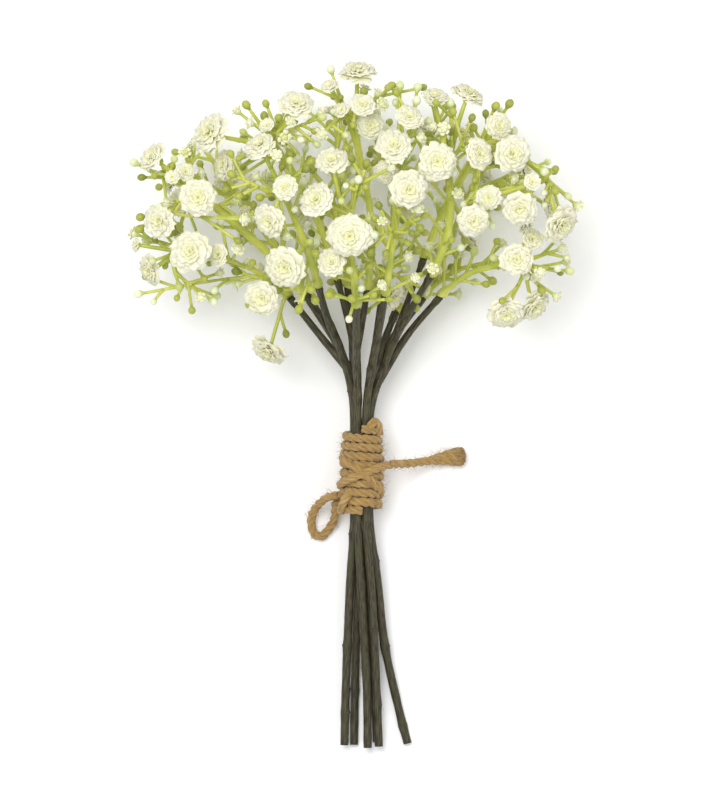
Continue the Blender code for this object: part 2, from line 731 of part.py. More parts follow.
def build_cord(name, route, widths, material):
    """A free twine as a round curve: widths are (share of the length, factor) pairs."""
    curve = bpy.data.curves.new(name, "CURVE")
    curve.dimensions = "3D"
    curve.bevel_depth = TWINE_R * MM
    curve.bevel_resolution = 2
    curve.use_fill_caps = True
    points = smooth_route(route, CORD_STEP)
    line = curve.splines.new("POLY")
    line.points.add(len(points) - 1)
    for k, (node, point) in enumerate(zip(line.points, points)):
        node.co = (*(point * MM), 1)
        shares, factors = zip(*widths)
        node.radius = float(np.interp(k / (len(points) - 1), shares, factors))
    curve.materials.append(material)
    thing = bpy.data.objects.new(name, curve)
    bpy.context.scene.collection.objects.link(thing)
    return thing


def past_end(points):
    """The point one gap past a strand's end, and the next one along its way."""
    route = smooth_route([round_bundle(*p) for p in points], STRAND_STEP)
    way = route_directions(route)[-1]
    return [route[-1] + way * GAP, route[-1] + way * (GAP + FREE_START)]


def build_free_twine(material):
    tail = past_end(TAIL_STRAND) + [Vector(p) for p in TAIL_ROUTE]
    build_cord("jute_tail", tail, TAIL_FLARE, material)
    loop = past_end(LOOP_STUB) + [Vector(p) for p in LOOP_ROUTE] + list(reversed(past_end(RETURN_STUB)))
    build_cord("jute_loop", loop, [(0, 1), (1, 1)], material)


def build_spray(spray, stalks, green, ivory):
    """Joins a spray's stalks, buds and blooms and cuts off what would lie under the surface."""
    rng = random.Random(spray.seed + 500)
    bodies = []
    lowest = 1.0
    for stalk in stalks:
        head, points, radii = stalk.head, list(stalk.points), stalk.radii()
        if head.is_bloom:
            head.facing = (head.facing * 0.6 + route_directions(points)[-1] * 0.4).normalized()
            points[-1] = head.centre - head.facing * 0.2 * head.radius
            petals = 6 if head.radius > BIG_BLOOM_R else 5
            spin = rng.uniform(0, math.pi)
            lowest = min(lowest, head.centre.z - head.radius)
            bodies.append((bloom(head.centre, head.facing, head.radius, petals, spin), ivory))
        else:
            points, radii = with_bud(points, radii)
        bodies.append((tube(points, radii, 3 if head.is_bloom and bodies[1:] else 4), green))
    trunk = bodies.pop(1 if stalks[0].head.is_bloom else 0)[0]
    thing = fuse(spray.name, trunk, bodies, green)
    if lowest < 0:
        trim_below_surface(thing)
    return thing


def trim_below_surface(thing):
    slab = bmesh.new()
    bmesh.ops.create_cube(slab, size=1.0)
    bmesh.ops.scale(slab, vec=(400, 400, 40), verts=slab.verts)
    bmesh.ops.translate(slab, vec=(0, 0, -20), verts=slab.verts)
    cutter = add_object("surface_cutter", slab, thing.data.materials[0])
    name = thing.data.name
    apply_boolean(thing, "DIFFERENCE", object=cutter, solver="EXACT")
    thing.data.name = name
    bpy.data.objects.remove(cutter, do_unlink=True)


def main():
    clear_scene()
    dark = plastic("dark stem", (0.075, 0.065, 0.035), 0.6)
    green = plastic("yellow-green stalk", (0.40, 0.45, 0.06), 0.45)
    ivory = plastic("ivory bloom", (0.80, 0.79, 0.62), 0.5)
    jute = plastic("jute", (0.50, 0.31, 0.12), 0.9)
    build_winding(jute)
    build_free_twine(jute)
    room = Room()
    for stem in STEMS:
        build_stem(stem, dark)
        for route, radii in stem_routes(stem):
            fill_with_branch(room, [p for p in ball_row(route) if p.y > TIE_TOP_Y])
    placed = place_heads(room)
    grown = {}
    for owner, spray in enumerate(SPRAYS):
        grown[spray.name] = grow(room, owner, spray, placed[spray.name])
    for owner, spray in enumerate(SPRAYS):
        rng = random.Random(spray.seed)
        grown[spray.name] += add_side_buds(room, owner, spray, grown[spray.name], rng)
    for spray in SPRAYS:
        build_spray(spray, grown[spray.name], green, ivory)


if __name__ == "__main__":
    main()
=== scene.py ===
"""The finish of a small tied bunch of made gypsophila, which lies on its side on a pale floor.

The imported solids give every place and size. The dark stems, the moulded sprays and the jute twine are drawn
here again along the same routes, only finer, and each new piece stands for its solid. +Y runs from the cut
ends to the blooms and +Z is up. Sizes are in millimetres, and MM turns them into metres.
"""

import functools
import json
import math
import random

import bmesh
import bpy
import numpy as np
from mathutils import Matrix, Vector, noise

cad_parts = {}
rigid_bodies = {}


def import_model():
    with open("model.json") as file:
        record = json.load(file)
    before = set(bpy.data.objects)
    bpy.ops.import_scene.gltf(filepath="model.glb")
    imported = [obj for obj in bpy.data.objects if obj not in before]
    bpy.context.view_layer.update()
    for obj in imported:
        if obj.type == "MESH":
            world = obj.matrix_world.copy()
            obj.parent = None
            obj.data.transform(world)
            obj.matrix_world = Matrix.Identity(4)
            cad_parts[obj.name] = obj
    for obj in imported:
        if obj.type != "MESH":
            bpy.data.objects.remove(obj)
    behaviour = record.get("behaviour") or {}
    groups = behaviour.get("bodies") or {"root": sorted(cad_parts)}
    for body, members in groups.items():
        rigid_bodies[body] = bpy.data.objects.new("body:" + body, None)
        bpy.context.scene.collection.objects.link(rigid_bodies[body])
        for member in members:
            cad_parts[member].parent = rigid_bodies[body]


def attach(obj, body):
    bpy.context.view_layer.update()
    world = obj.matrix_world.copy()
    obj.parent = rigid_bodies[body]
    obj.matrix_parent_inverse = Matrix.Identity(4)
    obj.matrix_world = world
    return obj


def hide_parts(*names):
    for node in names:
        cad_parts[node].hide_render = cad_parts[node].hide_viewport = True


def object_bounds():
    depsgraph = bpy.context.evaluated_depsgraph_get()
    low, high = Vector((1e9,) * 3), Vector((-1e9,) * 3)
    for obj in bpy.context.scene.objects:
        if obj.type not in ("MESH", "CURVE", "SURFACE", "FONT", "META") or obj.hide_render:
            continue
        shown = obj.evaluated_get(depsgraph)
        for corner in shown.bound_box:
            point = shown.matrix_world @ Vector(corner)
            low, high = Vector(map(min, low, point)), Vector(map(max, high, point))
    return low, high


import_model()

CAD_LOW, CAD_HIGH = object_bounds()

bl_info = {
    "name": "Tied Gypsophila Bunch",
    "version": (1, 0, 0),
    "blender": (4, 5, 0),
    "location": "View3D > Sidebar > Bunch",
    "description": "Draws the stems, sprays and jute tie of a small made gypsophila bunch",
    "category": "Add Mesh",
}

# The gap between one piece's end and the next, the least height of a soft piece over the floor, and the UV
# maps: the pieces' own and the petals' tints
MM = 0.001
GAP = 0.3
FLOOR_GAP = 0.05
UP = Vector((0, 0, 1))
UV = "along"
TINT = "petal_tint"

# Stems: round, side by side in a ring of six where they are tied
STEM_R = 1.65
STEM_TIED_R = 1.45
STEM_TIP_R = 1.3
STEM_STEP = 11.0
FORK_STEP = 9.0
FORK_SLIMNESS = 0.9
TAPER_RUN = 20.0
TIP_TAPER_Y = 25.0
RING_R = 3.2
BUNDLE_X = 2.7
BUNDLE_Z = 16.0
BUNDLE_SLOPE = 0.11
TIE_TOP_Y = -7.5
TIE_BOTTOM_Y = -43.0
TIE_MID_Y = (TIE_TOP_Y + TIE_BOTTOM_Y) / 2

# Twine: its own radius, the turns of the winding and the crest of the winding at its two ends and its middle
TWINE_R = 1.7
TURNS = 9
STRAND_STEP = 4.5
FREE_START = 2.2
WINDING_TOP_R = 7.2
WINDING_MID_R = 8.9
WINDING_END_R = 8.2
WINDING_BORE_R = RING_R + STEM_TIED_R + GAP

# Head: the dome that the blooms lie on, how far a bloom moves in to be clear, the outline that side buds keep
# to, how much a bloom turns to its stalk, and how far below a bloom's middle a stalk ends, as it is laid and
# as it is drawn, in shares of its radius
HEAD_Y = 84.0
HEAD_Z = 54.0
HEAD_HALF_X = 88.0
HEAD_HALF_Y = 51.0
HEAD_HALF_Z = 48.0
HEAD_HEART = Vector((0, 55, 40))
HEAD_STEP = 1.5
HEAD_STEPS = 14
HEAD_BALL = 0.92
HEAD_EDGE = 0.97
STALK_TURNS = 0.4
BLOOM_SINKS = 0.3
STALK_SINKS = 0.2
SIDE_MARGIN = 2
LEAST_HEIGHT = 2.0
ROOF_MARGIN = 0.1
BLOOM_LEAST = 5.0
BLOOM_FULLNESS = 1.04
SMALL_BLOOM_R = 5.0

# Stalks and buds: their radii, where a new stalk may fork from and what that costs, and how far it bows
PEDICEL_R = 0.74
BUD_STALK_R = 0.6
PEDICEL_CAP = 0.95
BIG_PEDICEL_CAP = 1.1
LIMB_CAP = 1.8
FORK_POWER = 0.38
FORK_PLACES = (0.35, 0.7, 1.0)
SHORTEST_PEDICEL = 5.0
FIRST_FORK = 2.4
TURN_MOST = math.radians(130)
TURN_COST = 7.0
REACH_COST = 0.9
BEND_RUN = 19.0
TRUNK_BOWS = (0.42, 0.25, 0.6, 0.1)
PEDICEL_BOWS = (0.35, 0.15, 0.55)
TRUNK_START = 2.5
BUD_LENGTH = 4.6
BUD_R = 1.9
BUD_TRIES = 40
FIRST_SIDE_BUD = 1000
SPRAY_GAP = 0.5
TIP_RUN = 4.0
NEARBY = 20.0


class Spray:
    """One moulded spray: the dark tip that it sits on, its layer in the dome and its blooms and buds.

    layer is 1 on the upper side of the dome and -1 on the lower side. lift is how much its blooms turn
    up from straight out of the dome. heads are (x, y, width) or (x, y, width, z), and a width under 5 mm
    is a bud. buds is how many side buds it also gets.
    """

    def __init__(self, name, tip, layer, lift, heads, buds, seed):
        self.name = name
        self.tip = Vector(tip)
        self.layer = layer
        self.lift = lift
        self.heads = heads
        self.buds = buds
        self.seed = seed


SPRAYS = [
    Spray("spray_left_low", (-25.5, 42.5, 30), 0.9, 0.9, [
        (-64, 60, 17), (-80, 53, 13), (-36, 42, 14.5), (-34, 22, 15, 34), (-53, 59, 9.5), (-85, 63, 7),
        (-46, 52, 3.5, 50), (-84, 44, 3.5), (-86, 67, 3.5), (-71, 49, 3), (-59, 42, 3.5)], 5, 11),
    Spray("spray_left_mid", (-20.5, 44.5, 42), 0.95, 0.7, [
        (-61, 81, 15), (-76, 72, 14), (-79, 97, 12.5), (-71, 89, 6.5), (-66, 91, 8.5),
        (-50, 80, 3.5, 64), (-84, 71, 3.5), (-86, 95, 3), (-66, 98, 3.5, 66), (-46, 73, 3.5)], 5, 12),
    Spray("spray_left_high", (-14.5, 47.5, 54), 0.95, 0.25, [
        (-27, 54, 17), (-33, 72, 13.5), (-27, 85, 10.5), (-37, 101, 13),
        (-21, 92, 3.5), (-47, 90, 3), (-17, 43, 3.5)], 5, 13),
    Spray("spray_left_top", (-7, 50, 40), 0.9, 0.35, [
        (-56, 106, 17.5), (-51, 94, 12), (-23, 117, 14), (-34, 109, 7), (-43, 99, 3.5, 64),
        (-42, 117, 3.5), (-31, 112, 3), (-15, 113, 3.5), (-29, 106, 3)], 5, 14),
    Spray("spray_centre_high", (0.5, 39.5, 63), 1.0, 0.2, [
        (-2, 66, 17.5), (-9, 56, 11), (-15, 80, 14), (-9, 95, 13.5),
        (-1, 41, 3.5), (1, 87, 3.5), (4, 93, 3.5)], 5, 15),
    Spray("spray_centre_top", (5, 46, 47), 0.9, 0.25, [
        (1, 130, 15), (3, 117, 10), (-10, 124, 8), (6, 109, 11), (-5, 115, 7), (-4, 104, 3.5, 84),
        (-9, 131, 3.5), (13, 125, 4.5), (-12, 108, 3)], 5, 16),
    Spray("spray_mid_high", (12, 44, 59), 0.97, 0.2, [
        (21, 84, 15.5), (15, 101, 14.5), (12, 91, 10), (21, 112, 11),
        (18, 124, 3.5), (24, 118, 3.5), (9, 67, 3.5), (24, 76, 3.5)], 5, 17),
    Spray("spray_mid_low", (16, 37, 29), 0.55, 0.6, [
        (15, 43, 12, 44), (24, 60, 3.5, 62), (5.5, 43, 3.5, 40), (27, 46, 3.5, 52)], 5, 18),
    Spray("spray_right_high", (30, 51.5, 54), 0.95, 0.4, [
        (32, 95, 15.5), (31, 120, 11), (44, 121, 14), (48, 98, 13), (40, 107, 11, 68),
        (38, 117, 3.5), (44, 103, 3), (36, 109, 3)], 5, 19),
    Spray("spray_right_mid", (27, 58, 42), 0.9, 1.1, [
        (64, 77, 14.5), (80, 71, 16.5), (61, 98, 15.5), (46, 72, 13), (56, 109, 11), (69, 87, 8),
        (60, 87, 3.5, 70), (52, 81, 10), (55, 116, 3.5), (60, 117, 3.5), (73, 93, 3.5), (86.5, 80, 4),
        (78, 86, 3.5)], 5, 20),
    Spray("spray_right_low", (33.5, 43, 33), 0.85, 1.4, [
        (59, 36, 14), (70, 39, 14.5), (63, 57, 13.5), (69, 65, 9.5),
        (73, 47, 3.5), (83, 53, 3.5), (80, 61, 3)], 5, 21),
    Spray("spray_back_far_left", (-19, 44, 17), -0.9, 0.3, [
        (-50, 92, 13, 4.4), (-70, 70, 13), (-44, 66, 12), (-62, 104, 11), (-72, 88, 10),
        (-34, 48, 11), (-70, 80, 11, 34)], 5, 22),
    Spray("spray_back_left", (-3, 47, 18), -0.9, 0.3, [
        (-28, 106, 13), (-20, 78, 14), (-8, 116, 12), (-6, 94, 12), (-34, 92, 3.5)], 5, 23),
    Spray("spray_back_right", (11, 47, 18), -0.9, 0.3, [
        (26, 108, 13), (18, 80, 14), (5, 114, 11), (30, 92, 12), (36, 118, 3.5)], 5, 24),
    Spray("spray_back_far_right", (27, 43, 18), -0.9, 0.3, [
        (49, 92, 13, 4.4), (68, 74, 13), (44, 66, 12), (58, 108, 11), (67, 93, 10),
        (62, 58, 11), (76, 79, 11, 36)], 5, 25),
]


def round_bundle(angle_deg, y, radius):
    """A point round the bundle's axis: 0 degrees is +X, 90 is up."""
    angle = math.radians(angle_deg)
    z = BUNDLE_Z + BUNDLE_SLOPE * (y - TIE_MID_Y)
    return Vector((BUNDLE_X + radius * math.cos(angle), y, z + radius * math.sin(angle)))


def ring_point(angle_deg, y):
    """Where a tied stem's centre line passes, for its place round the ring."""
    return round_bundle(angle_deg, y, RING_R)


class Stem:
    """One dark stem: its place in the ring, its route below the tie, its forks above it and its scars."""

    def __init__(self, name, angle, below, above, forks, scars):
        self.name = name
        self.angle = angle
        self.below = [Vector(p) for p in below]
        self.above = [Vector(p) for p in above]
        self.forks = forks
        self.scars = scars

    def main_route(self):
        """From the cut end to the tip of the main branch, through the tie."""
        tied = [ring_point(self.angle, y) for y in (TIE_BOTTOM_Y - 3, TIE_MID_Y, TIE_TOP_Y + 3)]
        return self.below + tied + self.above


# Each fork is (start on the main route above the tie, bend, tip), and each scar (y, side in degrees)
STEMS = [
    Stem("left", 180, [(-4.2, -134, 5.2), (-3.6, -110, 6.6), (-2.2, -75, 10.0)],
         [(-1.6, 8, 20), (-6, 23, 29), (-11, 35, 40.5), (-14.5, 47.5, 54)],
         [((-6, 23, 29), (-14, 35, 34.5), (-20.5, 44.5, 42)),
          ((-3.4, 15, 23.6), (-14, 28, 25), (-25.5, 42.5, 30))],
         [(-50.5, 170), (-94.5, 185), (-121, 20), (6, 150), (31, 120)]),
    Stem("centre", 120, [(5.0, -135, 6.2), (4.6, -110, 8.6), (2.6, -75, 12.9)],
         [(1.0, 8, 24), (0.6, 21, 37), (0.5, 39.5, 63)],
         [((1.0, 8, 24), (-1.5, 28, 31.5), (-7, 50, 40)),
          ((0.6, 21, 37), (2.6, 32, 41), (5, 46, 47))],
         [(-71.5, 60), (-104, 120), (3, 100)]),
    Stem("mid_right", 60, [(9.4, -134.5, 5.4), (8.4, -110, 8.0), (6.6, -75, 12.7)],
         [(5.4, 8, 24), (8.2, 24, 38), (12, 44, 59)],
         [((5.4, 8, 24), (10.5, 23, 28.5), (16, 37, 29))],
         [(-52.5, 20), (-88, 110), (-118, 50), (14, 60)]),
    Stem("right", 0, [(20.8, -133.5, 1.45), (17.8, -122, 1.6), (11.8, -95, 5.6), (9.0, -70, 9.6)],
         [(8.6, 8, 20), (14.5, 24, 31), (22, 38, 43), (30, 51.5, 54)],
         [((14.5, 24, 31), (21, 42, 37), (27, 58, 42)),
          ((8.6, 8, 20), (20, 27, 26), (33.5, 43, 33))],
         [(-62, 20), (-95, 10), (-126, 90), (11, 30), (33, 60)]),
    Stem("back_left", 240, [(-0.4, -134, 1.4), (-0.2, -120, 1.4), (0.3, -95, 4.2), (1.1, -70, 7.9)],
         [(-0.6, 8, 15), (-8, 26, 15), (-19, 44, 17)],
         [((-0.6, 8, 15), (-1.2, 28, 16), (-3, 47, 18))],
         [(-82, 200), (-112, 160)]),
    Stem("back_right", 300, [(8.6, -133, 1.4), (8.2, -120, 1.4), (6.8, -95, 4.2), (5.4, -70, 7.9)],
         [(6.6, 8, 15), (14, 25, 16), (27, 43, 18)],
         [((6.6, 8, 15), (8.6, 28, 16), (11, 47, 18))],
         [(-78, 330), (-108, 20)]),
]


def smooth_route(points, step):
    """A Catmull-Rom curve through the points, read about every step."""
    ends = [points[0] * 2 - points[1]] + list(points) + [points[-1] * 2 - points[-2]]
    route = []
    for i in range(1, len(ends) - 2):
        p0, p1, p2, p3 = ends[i - 1:i + 3]
        count = max(1, round((p2 - p1).length / step))
        for k in range(count):
            t = k / count
            route.append(0.5 * (2 * p1 + (p2 - p0) * t + (2 * p0 - 5 * p1 + 4 * p2 - p3) * t * t
                                + (3 * p1 - p0 - 3 * p2 + p3) * t ** 3))
    return route + [points[-1].copy()]


def across(direction):
    """Two unit vectors square to a direction and to each other."""
    side = direction.cross(UP if abs(direction.z) < 0.9 else Vector((1, 0, 0))).normalized()
    return side, direction.cross(side).normalized()


def route_directions(route):
    """The unit vector along the route at each of its points."""
    inner = [(route[i + 1] - route[i - 1]).normalized() for i in range(1, len(route) - 1)]
    return [(route[1] - route[0]).normalized()] + inner + [(route[-1] - route[-2]).normalized()]


def facing_frame(centre, direction, spin):
    """The placement that turns local +Z along a direction, after a spin about it."""
    side, other = across(direction)
    turn = Matrix((side, other, direction)).transposed().to_4x4()
    return Matrix.Translation(centre) @ turn @ Matrix.Rotation(spin, 4, "Z")


class Room:
    """What already fills the head: balls along each stem and stalk and in each bloom and bud."""

    def __init__(self):
        self.centres = np.zeros((0, 3))
        self.radii = np.zeros(0)
        self.owners = np.zeros(0, int)
        self.heads = np.zeros(0, int)

    def add(self, centres, radii, owner, head):
        """Notes balls of one owner. head is the bloom or bud that they fill, or -1 for a stalk."""
        count = len(centres)
        self.centres = np.vstack([self.centres, np.array([tuple(c) for c in centres])])
        self.radii = np.concatenate([self.radii, np.array(radii, float)])
        self.owners = np.concatenate([self.owners, np.full(count, owner)])
        self.heads = np.concatenate([self.heads, np.full(count, head)])

    def is_clear(self, centres, radii, owner, head):
        """Whether balls miss everything of other owners, and every bloom or bud but their own."""
        here = np.array([tuple(c) for c in centres])
        others = (self.owners != owner) | ((self.heads >= 0) & (self.heads != head))
        others &= ((self.centres > here.min(0) - NEARBY) & (self.centres < here.max(0) + NEARBY)).all(axis=1)
        if not others.any():
            return True
        apart = np.linalg.norm(here[:, None, :] - self.centres[others][None, :, :], axis=2)
        need = np.array(radii, float)[:, None] + self.radii[others][None, :] + SPRAY_GAP
        return bool((apart > need).all())


def ball_row(points):
    """Points about every millimetre along a bent stalk."""
    row = [points[0]]
    for a, b in zip(points, points[1:]):
        count = max(1, math.ceil((b - a).length))
        row += [a.lerp(b, k / count) for k in range(1, count + 1)]
    return row


def dome_height(x, y, layer):
    """The height of the dome's upper or lower side over a place."""
    reach = 1 - (x / HEAD_HALF_X) ** 2 - ((y - HEAD_Y) / HEAD_HALF_Y) ** 2
    return HEAD_Z + layer * HEAD_HALF_Z * math.sqrt(max(0.0, reach))


def inside_head(point):
    """Whether a side bud's tip stays in the head's outline, off the floor and under the head's top."""
    reach = (point.x / HEAD_HALF_X) ** 2 + ((point.y - HEAD_Y) / HEAD_HALF_Y) ** 2
    between = LEAST_HEIGHT < point.z < CAD_HIGH[2] / MM + ROOF_MARGIN
    return between and abs(point.x) < HEAD_HALF_X - SIDE_MARGIN and (reach < HEAD_EDGE or point.y < HEAD_Y)


class Head:
    """One bloom or bud: its middle, its radius and the way it faces."""

    def __init__(self, number, centre, radius, lift=0.0):
        self.number = number
        self.centre = centre
        self.radius = radius
        self.facing = ((centre - HEAD_HEART).normalized() + UP * lift).normalized()
        self.is_bloom = 2 * radius >= BLOOM_LEAST

    def base(self):
        """Where its stalk ends."""
        return self.centre - self.facing * (BLOOM_SINKS * self.radius if self.is_bloom else BUD_LENGTH / 2)


class Stalk:
    """A stalk from its fork to its head: its points, its greatest radius and the heads past each point."""

    def __init__(self, points, cap, head, parent=None, fork=0):
        self.points = points
        self.cap = cap
        self.head = head
        self.parent = parent
        self.fork = fork
        self.load = [1] * len(points)
        self.children = []

    def radii(self):
        """Its radius at each point, which grows with the heads that it carries."""
        least = PEDICEL_R if self.head.is_bloom else BUD_STALK_R
        return [min(self.cap, least * load ** FORK_POWER) for load in self.load]


def place_heads(room):
    """Sets every listed bloom and bud on the dome, moving it inward until it is clear of the others."""
    placed = {}
    number = 0
    for owner, spray in enumerate(SPRAYS):
        placed[spray.name] = []
        for x, y, width, *height in spray.heads:
            radius = width / 2 * (BLOOM_FULLNESS if width >= BLOOM_LEAST else 1.0)
            z = height[0] if height else max(dome_height(x, y, spray.layer), radius)
            inward = -HEAD_STEP if z > HEAD_HEART.z else HEAD_STEP
            for step in range(HEAD_STEPS):
                centre = Vector((x, y, z + inward * step))
                if room.is_clear([centre], [radius * HEAD_BALL], owner, number):
                    break
            head = Head(number, centre, radius, spray.lift)
            room.add([centre], [radius * HEAD_BALL], owner, number)
            placed[spray.name].append(head)
            number += 1
    return placed


def bowed(start, way, end, bow):
    """Points from start to end, leaving a little along way."""
    length = (end - start).length
    control = start + way * length * bow
    count = max(1, min(3, round(length / BEND_RUN)))
    points = []
    for k in range(count + 1):
        t = k / count
        points.append(start * (1 - t) ** 2 + control * (2 * t * (1 - t)) + end * t * t)
    return points


def fork_choices(stalks, goal):
    """Every place on the stalks that a new one could leave from, the best first."""
    choices = []
    for index, stalk in enumerate(stalks):
        reach = 0.0
        for k in range(1, len(stalk.points)):
            a, b = stalk.points[k - 1], stalk.points[k]
            way = (b - a).normalized()
            for t in FORK_PLACES:
                point = a.lerp(b, t)
                path = goal - point
                at_head = t == 1.0 and k == len(stalk.points) - 1
                at_socket = index == 0 and reach + t * (b - a).length < FIRST_FORK
                if at_head or at_socket or path.length < SHORTEST_PEDICEL:
                    continue
                turn = way.angle(path.normalized())
                if turn < TURN_MOST:
                    cost = path.length + REACH_COST * reach + TURN_COST * turn
                    choices.append((cost, index, k, t, point, way))
            reach += (b - a).length
    choices.sort(key=lambda choice: choice[:4])
    return choices


def add_fork(stalk, k, t, point):
    """Puts a fork point into a stalk and returns its index."""
    if t >= 1.0:
        return k
    stalk.points.insert(k, point)
    stalk.load.insert(k, stalk.load[k])
    for other in stalk.children:
        if other.fork >= k:
            other.fork += 1
    return k


def grow_trunk(room, owner, spray, heads):
    """The spray's first stalk: from the dark tip to the farthest head that it can reach clear of the rest."""
    aim = tip_direction(spray.tip)
    root = spray.tip + aim * GAP
    for head in heads:
        for bow in TRUNK_BOWS:
            points = [root] + bowed(root + aim * TRUNK_START, aim, head.base(), bow)
            row = ball_row(points)
            if room.is_clear(row, [LIMB_CAP] * len(row), owner, head.number):
                return Stalk(points, LIMB_CAP, head), row
    raise RuntimeError(f"{spray.name} has no clear way out of its tip")


def clear_way(room, owner, stalks, head):
    """The best fork place and bent way to a head that crosses nothing, or None."""
    for _, index, k, t, point, way in fork_choices(stalks, head.base()):
        for bow in PEDICEL_BOWS:
            points = bowed(point, way, head.base(), bow)
            row = ball_row(points)
            if room.is_clear(row, [PEDICEL_CAP] * len(row), owner, head.number):
                return stalks[index], k, t, points
    return None


def grow(room, owner, spray, heads):
    """Joins each head to the spray, the farthest first, by the nearest clear way."""
    rest = sorted(heads, key=lambda head: -(head.base() - spray.tip).length)
    trunk, row = grow_trunk(room, owner, spray, rest)
    stalks = [trunk]
    room.add(row, [LIMB_CAP] * len(row), owner, -1)
    for head in rest:
        if head is trunk.head:
            continue
        way_in = clear_way(room, owner, stalks, head)
        if way_in:
            parent, k, t, points = way_in
            fork = add_fork(parent, k, t, points[0])
            cap = PEDICEL_CAP if head.radius < SMALL_BLOOM_R else BIG_PEDICEL_CAP
            stalk = Stalk(points, cap, head, parent, fork)
            parent.children.append(stalk)
            stalks.append(stalk)
            row = ball_row(points)
            room.add(row, [cap] * len(row), owner, -1)
    for stalk in stalks[1:]:
        child = stalk
        while child.parent:
            for j in range(child.fork + 1):
                child.parent.load[j] += 1
            child = child.parent
    return stalks


def add_side_buds(room, owner, stalks, rng, wanted, numbers, reach=(6, 11), size=1.0):
    """Small buds on short stalks of their own, where there is room for them."""
    made = []
    long, wide = BUD_LENGTH * size, BUD_R * size
    for number in numbers:
        parent = rng.choice(stalks)
        k = rng.randrange(1, len(parent.points))
        start = parent.points[k - 1].lerp(parent.points[k], rng.uniform(0.3, 0.8))
        way = (parent.points[k] - parent.points[k - 1]).normalized()
        side, other = across(way)
        turn = rng.uniform(0, 2 * math.pi)
        lean = rng.uniform(0.6, 1.0)
        out = way * math.cos(lean) + (side * math.cos(turn) + other * math.sin(turn)) * math.sin(lean)
        end = start + out * rng.uniform(*reach)
        row = ball_row([start + out * wide, end, end + out * long])
        radii = [PEDICEL_CAP] * (len(row) - 5) + [wide] * 5
        if not inside_head(end + out * long) or not room.is_clear(row, radii, owner, number):
            continue
        head = Head(number, end + out * long / 2, wide)
        room.add(row, radii, owner, number)
        made.append(Stalk([start, end], PEDICEL_R, head))
        if len(made) == wanted:
            break
    return made


def stem_routes(stem, step=1.0):
    """The main route of a stem and its forks, each with its radii. A step of 1 is the solid's own."""
    main = smooth_route(stem.main_route(), STEM_STEP * step)
    routes = [(main, [stem_radius(p) for p in main])]
    for points in stem.forks:
        fork = smooth_route([Vector(p) for p in points], FORK_STEP * step)
        routes.append((fork, [stem_radius(p) * FORK_SLIMNESS for p in fork]))
    return routes


def fill_with_branch(room, row):
    """Notes a dark branch. Its last few millimetres count as part of the spray that sits on it."""
    for point in row:
        reach = [(spray.tip - point).length for spray in SPRAYS]
        owner = reach.index(min(reach)) if min(reach) < TIP_RUN else -1
        room.add([point], [STEM_R], owner, -1)


def tip_direction(tip):
    """The way that the dark branch under a spray points where it ends."""
    ends = [route for stem in STEMS for route, _ in stem_routes(stem)]
    nearest = min(ends, key=lambda route: (route[-1] - tip).length)
    return route_directions(nearest)[-1]


def stem_radius(point):
    """Least where the twine presses, full a little way off, slimmer again towards the tips."""
    past_tie = max(0.0, TIE_BOTTOM_Y - 3 - point.y, point.y - TIE_TOP_Y - 3)
    radius = STEM_TIED_R + (STEM_R - STEM_TIED_R) * min(1.0, past_tie / TAPER_RUN)
    if point.y > TIP_TAPER_Y:
        radius += (STEM_TIP_R - STEM_R) * min(1.0, (point.y - TIP_TAPER_Y) / TAPER_RUN)
    return radius


# Small buds that the solids leave out, in rounds: how many on a spray, their stalks' lengths and their size.
# The second round also forks from the stalks of the first
SMALL_BUD_ROUNDS = ((20, (6.0, 16.0), 0.86), (24, (3.0, 7.0), 0.74))
SMALL_BUD_TRIES = 400
FIRST_SMALL_BUD = 4000

# Arcs: thin links from one stalk of a spray to another, which the mould leaves between them. How many a spray
# has, the shortest and the longest of them, and how far they bow, as a share of their length
ARCS = 28
ARC_TRIES = 600
ARC_SPANS = (10.0, 34.0)
ARC_BOW = 0.2
ARC_R = 0.6
ARC_POINTS = 5
ARC_ENDS = (0.15, 0.85)
ARC_SEED = 300


def between_stalks(room, owner, stalks, rng):
    """The arcs between the stalks of one spray, each as its points."""
    arcs = []
    for _ in range(ARC_TRIES):
        ends = []
        for stalk in rng.sample(stalks, 2):
            k = rng.randrange(1, len(stalk.points))
            ends.append(stalk.points[k - 1].lerp(stalk.points[k], rng.uniform(*ARC_ENDS)))
        start, end = ends
        bow = Vector([rng.uniform(-1, 1) for _ in range(3)]) * (end - start).length * ARC_BOW
        shares = [k / (ARC_POINTS - 1) for k in range(ARC_POINTS)]
        points = [start.lerp(end, t) + bow * math.sin(math.pi * t) for t in shares]
        row = ball_row(points)
        fits = ARC_SPANS[0] < (end - start).length < ARC_SPANS[1]
        fits = fits and min(p.z for p in points) > LEAST_HEIGHT
        if fits and room.is_clear(row, [PEDICEL_CAP] * len(row), owner, -1):
            room.add(row, [PEDICEL_CAP] * len(row), owner, -1)
            arcs.append(points)
            if len(arcs) == ARCS:
                break
    return arcs


